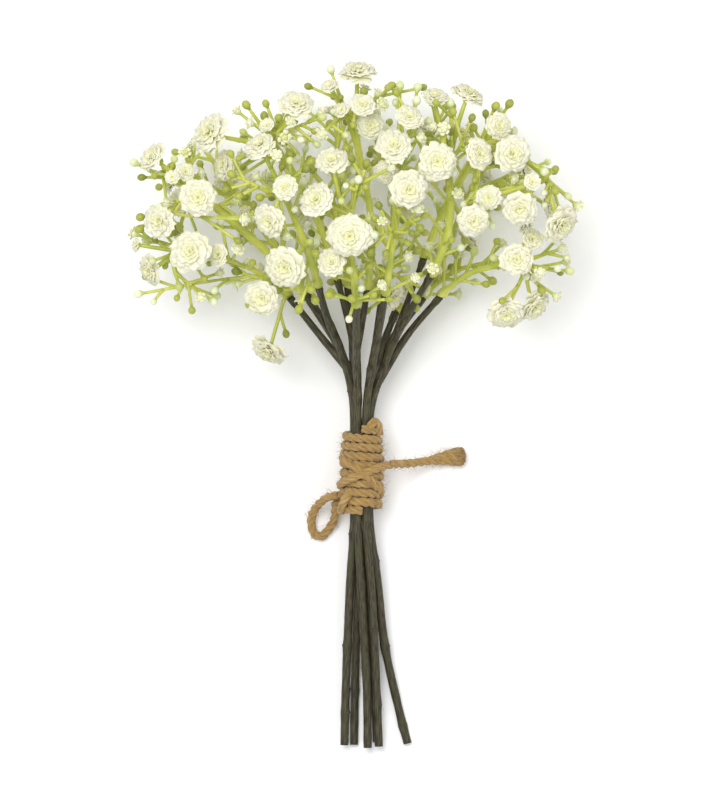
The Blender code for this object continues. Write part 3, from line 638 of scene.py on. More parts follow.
@functools.cache
def grown_sprays():
    """Every spray's stalks and arcs, worked out once: the solids' stalks come before the small buds'."""
    room = Room()
    for stem in STEMS:
        for route, _ in stem_routes(stem):
            fill_with_branch(room, [p for p in ball_row(route) if p.y > TIE_TOP_Y])
    placed = place_heads(room)
    grown = [grow(room, owner, spray, placed[spray.name]) for owner, spray in enumerate(SPRAYS)]
    for owner, spray in enumerate(SPRAYS):
        numbers = range(FIRST_SIDE_BUD + owner * BUD_TRIES, FIRST_SIDE_BUD + (owner + 1) * BUD_TRIES)
        rng = random.Random(spray.seed)
        grown[owner] += add_side_buds(room, owner, grown[owner], rng, spray.buds, numbers)
    for stalks in grown:
        for stalk in stalks:
            head = stalk.head
            if head.is_bloom:
                end = route_directions(stalk.points)[-1]
                head.facing = (head.facing * (1 - STALK_TURNS) + end * STALK_TURNS).normalized()
                stalk.points[-1] = head.centre - head.facing * STALK_SINKS * head.radius
    first = FIRST_SMALL_BUD
    for wanted, reach, size in SMALL_BUD_ROUNDS:
        for owner, spray in enumerate(SPRAYS):
            rng = random.Random(spray.seed + first)
            numbers = range(first, first + SMALL_BUD_TRIES)
            grown[owner] += add_side_buds(room, owner, grown[owner], rng, wanted, numbers, reach, size)
            first += SMALL_BUD_TRIES
    arcs = [between_stalks(room, owner, grown[owner], random.Random(spray.seed + ARC_SEED))
            for owner, spray in enumerate(SPRAYS)]
    return {spray.name: pair for spray, *pair in zip(SPRAYS, grown, arcs)}


# The twine past its turns, as (angle, y, radius) round the bundle: two strands that cross on the front,
# the knot under them, the ear at the top and the strand that the loop comes back to
TAIL_STRAND = [(205, -32, 7.6), (165, -31, 8.8), (125, -29, 9.3), (85, -26.5, 9.6), (52, -24.6, 9.7),
               (32, -23.7, 10.4), (20, -23.3, 11.3)]
CROSS_STRAND = [(175, -20, 7.4), (140, -21.5, 8.8), (95, -25.5, 9.0), (50, -31.5, 9.1), (15, -34.5, 8.0)]
KNOT_STRAND = [(120, -33, 7.6), (132, -36.5, 9.6), (150, -40, 9.4), (172, -41.5, 8.2)]
LOOP_STUB = [(176, -34.8, 6.6), (180, -35.2, 9.2)]
RETURN_STUB = [(196, -35.6, 6.6), (205, -37.2, 9.6)]
EAR_STRAND = [(10, -11.5, 6.9), (28, -7.6, 7.1), (46, -6.0, 7.0), (64, -9.0, 6.8)]

# Free twine, as routes in space that start where a strand ends
TAIL_ROUTE = [(18.5, -22.9, 14.6), (24.5, -22.4, 9.4), (31, -21.4, 5.6),
              (37.5, -20.4, 3.95), (41.5, -20, 3.95)]
TAIL_FLARE = [(0.0, 1.0), (0.62, 1.0), (0.86, 1.9), (0.95, 2.3), (1.0, 2.0)]
LOOP_ROUTE = [(-11.6, -36.4, 11.6), (-15.8, -40.6, 6.6), (-17.4, -45.6, 3.4), (-16.2, -50.4, 2.0),
              (-13.4, -51.6, 1.9), (-10.4, -48.6, 2.5), (-8.2, -44.6, 4.6)]


def winding_crest(t):
    """The winding's outer radius, from its top at 0 to its bottom at 1."""
    if t < 0.4:
        return WINDING_TOP_R + (WINDING_MID_R - WINDING_TOP_R) * math.sin(math.pi / 2 * t / 0.4)
    return WINDING_MID_R + (WINDING_END_R - WINDING_MID_R) * ((t - 0.4) / 0.6) ** 2


def past_end(points):
    """The point one gap past a strand's end, and the next one along its way."""
    route = smooth_route([round_bundle(*p) for p in points], STRAND_STEP)
    way = route_directions(route)[-1]
    return [route[-1] + way * GAP, route[-1] + way * (GAP + FREE_START)]


def linear(hex_colour):
    """An sRGB hex colour as linear red, green and blue."""
    shares = [int(hex_colour[i:i + 2], 16) / 255 for i in (1, 3, 5)]
    return tuple(s / 12.92 if s <= 0.04045 else ((s + 0.055) / 1.055) ** 2.4 for s in shares)


def add(tree, kind, inputs=None, **settings):
    """Adds a shader node with its settings, and sets or links its inputs."""
    node = tree.nodes.new(kind)
    for name, value in settings.items():
        setattr(node, name, value)
    for name, value in (inputs or {}).items():
        if isinstance(value, bpy.types.NodeSocket):
            tree.links.new(value, node.inputs[name])
        else:
            node.inputs[name].default_value = value
    return node


# Patterns: the size of a patch on a bud and on the twine, and how many times as long as wide a streak and a
# fibre are
BUD_PATCH = 3
JUTE_PATCH = 4
STREAK_LONG = 9
FIBRE_LONG = 14

# Socket numbers of a Mix node that mixes colours
MIX_FACTOR, MIX_A, MIX_B, MIX_RESULT = 0, 6, 7, 2


def mixed(tree, factor, a, b):
    """The colour between a and b by a factor. a and b are linear colours or sockets."""
    a, b = ((*c, 1.0) if isinstance(c, tuple) or hasattr(c, "hsv") else c for c in (a, b))
    inputs = {MIX_FACTOR: factor, MIX_A: a, MIX_B: b}
    return add(tree, "ShaderNodeMix", inputs, data_type="RGBA").outputs[MIX_RESULT]


def spread(tree, value, low, high, to_low=0.0, to_high=1.0):
    """A value from low to high as one from to_low to to_high, held at both ends."""
    inputs = {"Value": value, "From Min": low, "From Max": high, "To Min": to_low, "To Max": to_high}
    return add(tree, "ShaderNodeMapRange", inputs, interpolation_type="SMOOTHSTEP").outputs["Result"]


def speckle(tree, place, scale, detail=2.0, stretch=(1, 1, 1)):
    """Noise on a coordinate, with its scale in patches to the unit of that coordinate."""
    mapped = add(tree, "ShaderNodeMapping", {"Vector": place, "Scale": stretch}).outputs["Vector"]
    inputs = {"Vector": mapped, "Scale": scale, "Detail": detail, "Roughness": 0.55}
    return add(tree, "ShaderNodeTexNoise", inputs).outputs["Fac"]


def new_material(name):
    """A new material without nodes, and its tree."""
    made = bpy.data.materials.new(name)
    made.use_nodes = True
    made.node_tree.nodes.clear()
    return made, made.node_tree


def start_material(name, patch_size):
    """A new material, with its tree and what its colours follow: its UV map, its place and soft patches."""
    made, tree = new_material(name)
    uv = add(tree, "ShaderNodeUVMap", uv_map=UV).outputs["UV"]
    place = add(tree, "ShaderNodeTexCoord").outputs["Object"]
    return made, tree, uv, place, speckle(tree, place, 1 / patch_size)


def surface(tree, **inputs):
    """Ends a material in a Principled shader. Names use _ for a space."""
    named = {name.replace("_", " "): value for name, value in inputs.items()}
    shader = add(tree, "ShaderNodeBsdfPrincipled", named)
    add(tree, "ShaderNodeOutputMaterial", {"Surface": shader.outputs["BSDF"]})


def bump(tree, height, depth_mm, strength=0.6):
    """A normal from a height, with its depth in millimetres."""
    inputs = {"Height": height, "Distance": depth_mm * MM, "Strength": strength}
    return add(tree, "ShaderNodeBump", inputs).outputs["Normal"]


@functools.cache
def petal_material():
    """Moulded soft polyethylene, ivory: thin enough to glow, greener towards the claw and into the heart."""
    look = bpy.context.scene.bunch_blooms
    made, tree, uv, _, patch = start_material("moulded_polyethylene_petals", look.tint_patch)
    along = add(tree, "ShaderNodeSeparateXYZ", {0: uv}).outputs[0]
    tint = add(tree, "ShaderNodeUVMap", uv_map=TINT).outputs["UV"]
    own, depth = add(tree, "ShaderNodeSeparateXYZ", {0: tint}).outputs[:2]
    ivory = mixed(tree, spread(tree, patch, 0.35, 0.65), look.petal, look.petal_shade)
    ivory = mixed(tree, spread(tree, own, 0.3, 1.0, 0.0, 0.6), ivory, look.petal_shade)
    ivory = mixed(tree, spread(tree, depth, 0.35, 1.0, 0.0, 0.55), ivory, look.heart)
    veins = speckle(tree, uv, 1.0, 3.0, (1.5, 18.0, 1.0))
    veined = mixed(tree, spread(tree, veins, 0.3, 0.8, 0.0, 0.14), ivory, look.claw)
    colour = mixed(tree, spread(tree, along, 0.08, 0.7, 1.0, 0.0), veined, look.claw)
    surface(tree, Base_Color=colour, Roughness=0.55, IOR=1.5, Subsurface_Weight=0.15,
            Subsurface_Radius=(1.0, 0.96, 0.7), Subsurface_Scale=look.glow,
            Normal=bump(tree, veins, 0.1, 0.4))
    return made


@functools.cache
def stalk_material():
    """Moulded polyethylene, yellow-green: waxy, with slow changes from yellow to green along a stalk."""
    look = bpy.context.scene.bunch_stalks
    made, tree, uv, _, patch = start_material("moulded_polyethylene_stalks", look.tint_patch)
    grain = speckle(tree, uv, 1.0, 3.0, (1.6, 0.25, 1.0))
    colour = mixed(tree, spread(tree, patch, 0.32, 0.68), look.yellow, look.green)
    colour = mixed(tree, spread(tree, grain, 0.45, 0.8, 0.0, 0.45), colour, look.shade)
    surface(tree, Base_Color=colour, Roughness=0.42, IOR=1.5, Subsurface_Weight=0.12,
            Subsurface_Radius=(1.0, 1.0, 0.3), Subsurface_Scale=0.5 * MM,
            Normal=bump(tree, grain, 0.08))
    return made


def bud_material(name, tip, base, dark):
    """Moulded polyethylene buds: the stalk's colour at the foot, their own at the tip and some darker."""
    made, tree, uv, _, patch = start_material(name, BUD_PATCH * MM)
    own, along = add(tree, "ShaderNodeSeparateXYZ", {0: uv}).outputs[:2]
    colour = mixed(tree, spread(tree, along, 0.1, 0.6), base, tip)
    colour = mixed(tree, spread(tree, own, 0.45, 1.0, 0.0, 0.9), colour, dark)
    colour = mixed(tree, spread(tree, patch, 0.4, 0.8, 0.0, 0.3), colour, base)
    surface(tree, Base_Color=colour, Roughness=0.42, IOR=1.5, Subsurface_Weight=0.12,
            Subsurface_Radius=(1.0, 1.0, 0.4), Subsurface_Scale=0.5 * MM,
            Normal=bump(tree, patch, 0.1))
    return made


@functools.cache
def stem_material():
    """Moulded polyethylene over wire, dark olive brown: dull, with short paler streaks like thin bark."""
    look = bpy.context.scene.bunch_stems
    made, tree, uv, place, patch = start_material("moulded_polyethylene_stems", look.tint_patch)
    streak = speckle(tree, uv, 1.0, 4.0, (MM / look.streak, MM / (look.streak * STREAK_LONG), 1.0))
    colour = mixed(tree, spread(tree, streak, 0.35, 0.7), look.bark, look.streaks)
    colour = mixed(tree, spread(tree, patch, 0.4, 0.75, 0.0, 0.6), colour, look.olive)
    # Darker towards the cut ends, fading out where y reaches 0
    along = add(tree, "ShaderNodeSeparateXYZ", {0: place}).outputs[1]
    colour = mixed(tree, spread(tree, along, -0.1, 0.0, 0.35, 0.0), colour, look.bark)
    surface(tree, Base_Color=colour, Roughness=0.55, IOR=1.5, Specular_IOR_Level=0.3,
            Normal=bump(tree, streak, 0.25))
    return made


@functools.cache
def jute_material():
    """Spun jute: pale golden fibres that run along each ply, with dull darker ones between them."""
    look = bpy.context.scene.bunch_twine
    made, tree, uv, _, patch = start_material("twisted_jute_twine", JUTE_PATCH * MM)
    fibre = speckle(tree, uv, 1.0, 4.0, (MM / look.fibre, MM / (look.fibre * FIBRE_LONG), 1.0))
    colour = mixed(tree, spread(tree, fibre, 0.3, 0.7), look.dark, look.light)
    colour = mixed(tree, spread(tree, patch, 0.35, 0.7, 0.0, 0.5), colour, look.warm)
    surface(tree, Base_Color=colour, Roughness=0.92, IOR=1.45, Sheen_Weight=0.25, Sheen_Roughness=0.5,
            Normal=bump(tree, fibre, 0.3, 0.9))
    return made


def new_mesh():
    """An empty bmesh that keeps the UV map of every piece."""
    bm = bmesh.new()
    bm.loops.layers.uv.new(UV)
    return bm


def lift_to_floor(bm, least=FLOOR_GAP):
    """Presses flat on the floor what would lie under it."""
    for vert in bm.verts:
        vert.co.z = max(least, vert.co.z)


def finish_piece(name, bm, materials, nodes, closed=True):
    """Turns a bmesh in millimetres into a piece in metres that rides on the root and stands for nodes."""
    bmesh.ops.scale(bm, vec=(MM, MM, MM), verts=bm.verts)
    if closed:
        bmesh.ops.recalc_face_normals(bm, faces=bm.faces)
    mesh = bpy.data.meshes.new(name)
    bm.to_mesh(mesh)
    bm.free()
    for look in materials:
        mesh.materials.append(look)
    piece = bpy.data.objects.new(name, mesh)
    bpy.context.scene.collection.objects.link(piece)
    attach(piece, "root")
    if nodes:
        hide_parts(*nodes)
    return piece


def lay_uv(uv, faces, turn, run, girth):
    """Lays a sweep's faces on the UV map in millimetres, x round it and y along it."""
    for face in faces:
        shares = [turn[loop.vert] for loop in face.loops]
        wraps = max(shares) - min(shares) > 0.5
        for loop, share in zip(face.loops, shares):
            loop[uv].uv = ((share + 1 if wraps and share < 0.5 else share) * girth, run[loop.vert])


def sweep(bm, route, radii, sides, material_index=0, unit_length=False):
    """Draws a round section along a route by extruding it ring by ring, and closes both ends.

    unit_length lays the UV map from 0 to 1 along the route, and otherwise in millimetres. Returns the faces.
    """
    uv = bm.loops.layers.uv[UV]
    ways = route_directions(route)
    side = across(ways[0])[0]
    girth = 2 * math.pi * sum(radii) / len(radii)
    whole = sum((b - a).length for a, b in zip(route, route[1:])) if unit_length else 1.0
    place = ring = edges = None
    turn, run, gone = {}, {}, 0.0
    faces = []
    for k, (point, way, radius) in enumerate(zip(route, ways, radii)):
        side = (side - way * side.dot(way)).normalized()
        new_place = Matrix.Translation(point) @ Matrix((side, way.cross(side), way)).transposed().to_4x4()
        new_place = new_place @ Matrix.Diagonal((radius, radius, radius, 1))
        if k == 0:
            made = bmesh.ops.create_circle(bm, cap_ends=True, radius=1, segments=sides, matrix=new_place)
            ring = made["verts"]
            edges = list(dict.fromkeys(edge for vert in ring for edge in vert.link_edges))
            turn.update((vert, j / sides) for j, vert in enumerate(ring))
            faces += ring[0].link_faces
        else:
            gone += (point - route[k - 1]).length / whole
            grown = bmesh.ops.extrude_edge_only(bm, edges=edges)["geom"]
            ring = [part for part in grown if isinstance(part, bmesh.types.BMVert)]
            new = set(ring)
            for vert in ring:
                joined = (edge.other_vert(vert) for edge in vert.link_edges)
                turn[vert] = next(turn[other] for other in joined if other not in new)
            edges = [part for part in grown
                     if isinstance(part, bmesh.types.BMEdge) and set(part.verts) <= new]
            faces += [part for part in grown if isinstance(part, bmesh.types.BMFace)]
            bmesh.ops.transform(bm, matrix=new_place @ place.inverted(), verts=ring)
        run.update((vert, gone) for vert in ring)
        place = new_place
    faces += bmesh.ops.edgeloop_fill(bm, edges=edges)["faces"]
    lay_uv(uv, faces, turn, run, girth)
    for face in faces:
        face.smooth = True
        face.material_index = material_index
    for cap in (faces[0], faces[-1]):
        cap.smooth = False
    return faces


def finer(points, radii, step):
    """A stalk's points and radii read again about every step."""
    route = smooth_route(points, step)
    fine = []
    for a, b, low, high in zip(points, points[1:], radii, radii[1:]):
        count = max(1, round((b - a).length / step))
        fine += [low + (high - low) * k / count for k in range(count)]
    return route, fine + [radii[-1]]


def distances(route):
    """How far along the route each of its points lies."""
    gone = [0.0]
    for a, b in zip(route, route[1:]):
        gone.append(gone[-1] + (b - a).length)
    return gone


# Stems: the finer step as a share of the solid's, the swelling at a scar and how far along the stem it runs,
# the sleeve that holds a spray at each tip, and how much fuller they are than the solids where they touch
FINE_STEM = 0.16
STEM_FINE_SIDES = 12
SCAR_SWELL = 0.16
SCAR_RUN = 2.2
SCAR_KNOB_R = 0.8
SCAR_DEPTH = 0.9
SCAR_FORM = (1.0, 1.5, 0.8, 1)
SLEEVE_RUN = 4.5
SLEEVE_LIP = 0.8
SLEEVE_SWELL = 0.22
PRESSED_FULL = 0.13
PRESSED_RUN = 26.0


def add_scar(bm, route, radii, y, angle):
    """The one-sided knob that a cut leaf leaves on a stem, and the stem's swelling round it."""
    near = min(range(len(route)), key=lambda k: abs(route[k].y - y))
    way = route_directions(route)[near]
    turned = Vector((math.cos(angle), 0, math.sin(angle)))
    side = (turned - way * turned.dot(way)).normalized()
    place = facing_frame(route[near] + side * radii[near] * SCAR_DEPTH, side, 0) @ Matrix.Diagonal(SCAR_FORM)
    made = bmesh.ops.create_uvsphere(bm, u_segments=8, v_segments=6, radius=SCAR_KNOB_R, matrix=place)
    for face in {face: None for vert in made["verts"] for face in vert.link_faces}:
        face.smooth = True
    gone = distances(route)
    for k, far in enumerate(gone):
        radii[k] *= 1 + SCAR_SWELL * math.exp(-((far - gone[near]) / SCAR_RUN) ** 2)


class BUNCH_OT_stems(bpy.types.Operator):
    """Draws the six dark forked stems over their solids"""

    bl_idname = "bunch.stems"
    bl_label = "Draw Stems"

    def execute(self, context):
        look = stem_material()
        for stem in STEMS:
            bm = new_mesh()
            for branch, (route, radii) in enumerate(stem_routes(stem, FINE_STEM)):
                if branch == 0:
                    for y, angle in stem.scars:
                        add_scar(bm, route, radii, y, math.radians(angle))
                gone = distances(route)
                for k, far in enumerate(gone):
                    sleeve = min(1.0, max(0.0, (far - gone[-1] + SLEEVE_RUN) / SLEEVE_LIP))
                    pressed = math.exp(-((route[k].y - TIE_MID_Y) / PRESSED_RUN) ** 2)
                    radii[k] *= 1 + SLEEVE_SWELL * sleeve + PRESSED_FULL * pressed
                    radii[k] *= 1 + 0.07 * (1 - pressed) * noise.noise(route[k] * 0.22)
                sweep(bm, route, radii, STEM_FINE_SIDES)
            lift_to_floor(bm, 0.0)
            finish_piece("dark_stem_" + stem.name, bm, [look], ["stem_" + stem.name])
        return {"FINISHED"}


# Stalks: how finely they are drawn, the swelling where one leaves another and the cup under each bloom
STALK_STEP = 1.5
STALK_SIDES = 8
FORK_SWELL = 0.5
FORK_RUN = 1.6
KNEE_SWELL = 0.22
KNEE_RUN = 1.3
SOCKET_R = 1.95
SOCKET_RUN = 3.2
CALYX = ((-0.40, 0.10), (-0.34, 0.17), (-0.24, 0.27), (-0.10, 0.36), (0.0, 0.38), (0.02, 0.30))
ARC_SWELL = 0.7
ARC_RUN = 1.4


def draw_arc(bm, points):
    """A thin arc between two stalks, thicker where it meets them."""
    route, radii = finer(points, [ARC_R] * len(points), STALK_STEP)
    gone = distances(route)
    for k, far in enumerate(gone):
        radii[k] *= 1 + ARC_SWELL * (math.exp(-far / ARC_RUN) + math.exp((far - gone[-1]) / ARC_RUN))
    sweep(bm, route, radii, STALK_SIDES)


def draw_stalk(bm, stalk, is_trunk):
    """One stalk, thicker at its foot and at its own forks, and the green cup of its bloom."""
    head = stalk.head
    route, radii = finer(stalk.points, stalk.radii(), STALK_STEP)
    gone = distances(route)
    forks = [gone[min(range(len(route)), key=lambda k: (route[k] - child.points[0]).length)]
             for child in stalk.children]
    for k, far in enumerate(gone):
        swell = sum(KNEE_SWELL * math.exp(-((far - fork) / KNEE_RUN) ** 2) for fork in forks)
        if is_trunk:
            radii[k] = max(radii[k], SOCKET_R) if far < SOCKET_RUN else radii[k]
        else:
            swell += FORK_SWELL * math.exp(-far / FORK_RUN)
        radii[k] *= 1 + min(swell, 0.6) + 0.08 * noise.noise(route[k] * 0.5)
    sweep(bm, route, radii, STALK_SIDES)
    if head.is_bloom:
        centres = [head.centre + head.facing * up * head.radius for up, wide in CALYX]
        sweep(bm, centres, [wide * head.radius for up, wide in CALYX], 10)


def bud_length(head):
    """A side bud is as long as its radius asks. A listed one keeps the solid's length."""
    return BUD_LENGTH * (head.radius / BUD_R if head.number >= FIRST_SMALL_BUD else 1.0)


class BUNCH_OT_stalks(bpy.types.Operator):
    """Draws the yellow-green stalks of every spray, with the cups under its blooms"""

    bl_idname = "bunch.stalks"
    bl_label = "Draw Stalks"

    def execute(self, context):
        for name, (stalks, arcs) in grown_sprays().items():
            bm = new_mesh()
            for k, stalk in enumerate(stalks):
                draw_stalk(bm, stalk, k == 0)
            for arc in arcs:
                draw_arc(bm, arc)
            lift_to_floor(bm)
            finish_piece(name.replace("spray", "stalks"), bm, [stalk_material()], [name])
        return {"FINISHED"}


# Petals, in layers from the outside in: how many, where they start (out, up), how long and wide they are in
# shares of the bloom's radius, and their slope at the claw and at the tip in degrees. Then each petal's cells
# along and across, its thickness, its ripples across, and how many degrees a small bloom is more closed
PETAL_LAYERS = (
    (7, 0.06, -0.22, 1.00, 0.96, 36, -14),
    (7, 0.06, -0.13, 0.88, 0.86, 42, -12),
    (7, 0.05, -0.05, 0.75, 0.72, 48, -8),
    (6, 0.04, 0.02, 0.61, 0.62, 54, -2),
    (5, 0.03, 0.07, 0.47, 0.52, 62, 8),
    (4, 0.01, 0.10, 0.36, 0.40, 76, 28),
)
PETAL_CELLS = (5, 6)
PETAL_THICKNESS = 0.2
RIPPLE = 7.5
SMALL_BLOOM_CLOSES = 14
BLOOM_SEED = 500
PETAL_SEED = 100

# Opening buds: one in so many of all the buds, their petals' layers, their size and their coarser petals
OPENING_EVERY = 4
OPENING_LAYERS = (
    (6, 0.30, 0.00, 1.15, 0.80, 62, -6),
    (4, 0.16, 0.30, 0.90, 0.75, 80, 24),
)
OPENING_R = 2.5
OPENING_CELLS = (3, 4)


def bent(v, length, slope, tip_slope):
    """How far out and up a petal reaches at a share of its length, as its slope changes evenly."""
    low, high = math.radians(slope), math.radians(tip_slope)
    here = low + (high - low) * v
    return (length * (math.sin(here) - math.sin(low)) / (high - low),
            length * (math.cos(low) - math.cos(here)) / (high - low))


def draw_petal(bm, place, layer, closing, cells, rng):
    """One petal: a small grid bent up its slope, hollowed across, and scalloped and frilled at its tip."""
    _, out, up, length, width, slope, tip_slope = layer
    tint = bm.loops.layers.uv[TINT]
    length *= rng.uniform(0.88, 1.05)
    width *= rng.uniform(0.9, 1.15)
    tilt = rng.uniform(-9, 9) + closing
    wave, frill = rng.uniform(0, 2 * math.pi), rng.uniform(0.04, 0.1)
    nick, ragged = rng.uniform(0, 2 * math.pi), rng.uniform(0.02, 0.07)
    hollow = rng.uniform(-0.3, 0.4)
    own = rng.random()
    made = bmesh.ops.create_grid(bm, x_segments=cells[0], y_segments=cells[1], size=1, calc_uvs=True)
    for vert in made["verts"]:
        v, u = (vert.co.x + 1) / 2, vert.co.y
        half = width / 2 * (0.3 + 0.7 * math.sin(math.pi / 2 * min(1.0, v / 0.7)))
        edge = 0.09 * math.exp(-(u / 0.3) ** 2) + ragged * math.sin(RIPPLE * u + nick)
        far = v * (1 - 0.22 * u ** 4 * v * v - edge * v ** 4)
        reach, lift = bent(far, length, slope + tilt, tip_slope + tilt + 0.1)
        lift += hollow * u * u * half * 0.5 + frill * math.sin(RIPPLE * u + wave) * v ** 3
        vert.co = place @ Vector((out + reach, u * half, up + lift))
    for face in {face: None for vert in made["verts"] for face in vert.link_faces}:
        face.smooth = True
        for loop in face.loops:
            loop[tint].uv = (own, up / 0.3 + 0.6)


def draw_bloom(bm, head, spin, rng):
    """A double bloom of layered petals about its middle."""
    place = facing_frame(head.centre, head.facing, spin) @ Matrix.Scale(head.radius, 4)
    small = head.radius < SMALL_BLOOM_R
    closing = rng.uniform(-4, 8) + (SMALL_BLOOM_CLOSES if small else 0)
    for layer in PETAL_LAYERS[:-1] if small else PETAL_LAYERS:
        count = layer[0] - (2 if small else 0)
        first = rng.uniform(0, 2 * math.pi)
        for k in range(count):
            turn = first + 2 * math.pi * (k + rng.uniform(-0.2, 0.2)) / count
            draw_petal(bm, place @ Matrix.Rotation(turn, 4, "Z"), layer, closing, PETAL_CELLS, rng)


def is_opening(head):
    """Whether a bud shows its first petals."""
    return not head.is_bloom and head.number % OPENING_EVERY == 0


def draw_opening(bm, stalk, rng):
    """The first few petals that stand round a bud as it opens."""
    way = route_directions(stalk.points)[-1]
    size = bud_length(stalk.head)
    place = facing_frame(stalk.points[-1] + way * size * 0.4, way, 0)
    place = place @ Matrix.Scale(OPENING_R * size / BUD_LENGTH, 4)
    for layer in OPENING_LAYERS:
        first = rng.uniform(0, 2 * math.pi)
        for k in range(layer[0]):
            turn = Matrix.Rotation(first + 2 * math.pi * k / layer[0], 4, "Z")
            draw_petal(bm, place @ turn, layer, rng.uniform(-6, 12), OPENING_CELLS, rng)


class BUNCH_OT_blooms(bpy.types.Operator):
    """Draws the ivory double blooms of every spray and the petals of its opening buds"""

    bl_idname = "bunch.blooms"
    bl_label = "Draw Blooms"

    def execute(self, context):
        for spray in SPRAYS:
            rng = random.Random(spray.seed + BLOOM_SEED)
            bm = new_mesh()
            bm.loops.layers.uv.new(TINT)
            for stalk in grown_sprays()[spray.name][0]:
                petal_rng = random.Random(spray.seed * PETAL_SEED + stalk.head.number)
                if stalk.head.is_bloom:
                    draw_bloom(bm, stalk.head, rng.uniform(0, math.pi), petal_rng)
                elif is_opening(stalk.head):
                    draw_opening(bm, stalk, petal_rng)
            lift_to_floor(bm)
            piece = finish_piece(spray.name.replace("spray", "blooms"), bm, [petal_material()],
                                 [spray.name], closed=False)
            wall = piece.modifiers.new("petal thickness", "SOLIDIFY")
            wall.thickness = PETAL_THICKNESS * MM
            wall.offset = 0
        return {"FINISHED"}


# Buds: the share of pale ones, how lopsided one may be, and a bud's section as (share of its length, share
# that its radius is of it)
PALE_SHARE = 0.36
LOPSIDED = 0.05
BUD_SEED = 700
BUD_SIDES = 10
BUD_SECTION = ((-0.06, 0.12), (0.06, 0.15), (0.18, 0.22), (0.30, 0.31), (0.43, 0.365), (0.58, 0.375),
               (0.72, 0.335), (0.85, 0.24), (0.93, 0.14), (0.97, 0.05))


def draw_bud(bm, foot, way, size, material_index, rng):
    """A bud: a round knob that swells out of its stalk, a little lopsided."""
    uv = bm.loops.layers.uv[UV]
    side = across(way)[0] * rng.uniform(-LOPSIDED, LOPSIDED) * size
    centres = [foot + way * share * size + side * share for share, wide in BUD_SECTION]
    radii = [wide * size for share, wide in BUD_SECTION]
    own = rng.random()
    for face in sweep(bm, centres, radii, BUD_SIDES, material_index, True):
        for loop in face.loops:
            loop[uv].uv.x = own


class BUNCH_OT_buds(bpy.types.Operator):
    """Draws the round buds of every spray, some pale and some green"""

    bl_idname = "bunch.buds"
    bl_label = "Draw Buds"

    def execute(self, context):
        look = context.scene.bunch_buds
        pale = bud_material("moulded_polyethylene_pale_buds", look.pale_tip, look.pale_base, look.pale_base)
        green = bud_material("moulded_polyethylene_green_buds", look.green_tip, look.green_base, look.dark)
        for spray in SPRAYS:
            rng = random.Random(spray.seed + BUD_SEED)
            bm = new_mesh()
            for stalk in grown_sprays()[spray.name][0]:
                if not stalk.head.is_bloom:
                    way = route_directions(stalk.points)[-1]
                    kind = 0 if rng.random() < PALE_SHARE or is_opening(stalk.head) else 1
                    draw_bud(bm, stalk.points[-1], way, bud_length(stalk.head), kind, rng)
            lift_to_floor(bm)
            finish_piece(spray.name.replace("spray", "buds"), bm, [pale, green], [spray.name])
        return {"FINISHED"}


# Plies: three to the twine, each a round thread that winds about its middle once in every lay
PLIES = 3
PLY_R = 0.93
PLY_ORBIT = 0.86
PLY_SIDES = 8
PLY_STEP = 0.8
TWINE_LAY = 10.0
LEAST_PRESSED = 0.62
SIDE_FILL = 1.1


def bundle_outward(point):
    """The unit vector from the bundle's axis to a point."""
    axis = round_bundle(0, point.y, 0)
    return (point - axis).normalized()


def free_outward(route, first):
    """A unit vector square to the route at each of its points, carried along from the first."""
    side = first
    carried = []
    for way in route_directions(route):
        side = (side - way * side.dot(way)).normalized()
        carried.append(side)
    return carried


def lay_plies(bm, route, outward, phase=0.0, widths=None, pressed=None, fill=1.0):
    """Winds the three plies about a route. Returns the phase and the outward vector that it ends with."""
    gone = distances(route)
    ways = route_directions(route)
    widths = widths or [1.0] * len(route)
    pressed = pressed or [1.0] * len(route)
    for ply in range(PLIES):
        points, radii = [], []
        for k, point in enumerate(route):
            turn = phase + 2 * math.pi * (gone[k] / TWINE_LAY + ply / PLIES)
            side = (outward[k] - ways[k] * outward[k].dot(ways[k])).normalized()
            other = ways[k].cross(side)
            shift = side * math.cos(turn) * pressed[k] + other * math.sin(turn) * fill
            points.append(point + shift * PLY_ORBIT * widths[k])
            rough = 1 + 0.09 * noise.noise(point * 0.9 + Vector((ply * 9, 0, 0)))
            radii.append(PLY_R * (1 + (widths[k] - 1) * 0.8) * math.sqrt(pressed[k]) * rough)
        sweep(bm, points, radii, PLY_SIDES)
    return phase + 2 * math.pi * gone[-1] / TWINE_LAY, outward[-1]


def winding_route():
    """The middle of the twine through its turns, and how flat it is pressed on the stems at each point."""
    count = round(TURNS * 2 * math.pi * (WINDING_MID_R - TWINE_R) / PLY_STEP)
    route, pressed = [], []
    for k in range(count + 1):
        t = k / count
        crest = winding_crest(t)
        flat = max(LEAST_PRESSED, min(1.0, (crest - WINDING_BORE_R) / (2 * TWINE_R)))
        y = TIE_TOP_Y - TWINE_R + t * (TIE_BOTTOM_Y - TIE_TOP_Y + 2 * TWINE_R)
        loose = noise.noise(Vector((t * TURNS * 1.3, 3.7, 0))) * 0.35
        route.append(round_bundle(90 - 360 * TURNS * t, y + loose, crest - TWINE_R * flat))
        pressed.append(flat)
    return route, pressed


def strand_route(points):
    """The middle of a strand that lies on the winding."""
    return smooth_route([round_bundle(*p) for p in points], PLY_STEP)


@functools.cache
def twine_routes():
    """The middle of every free twine, in millimetres."""
    tail = past_end(TAIL_STRAND) + [Vector(p) for p in TAIL_ROUTE]
    loop = past_end(LOOP_STUB) + [Vector(p) for p in LOOP_ROUTE] + list(reversed(past_end(RETURN_STUB)))
    return smooth_route(tail, PLY_STEP), smooth_route(loop, PLY_STEP)


def flare(share):
    """How much wider the tail is than its twine at a share of its length."""
    shares, factors = zip(*TAIL_FLARE)
    return float(np.interp(share, shares, factors))


def length_of(route):
    """The whole length of a route."""
    return distances(route)[-1]


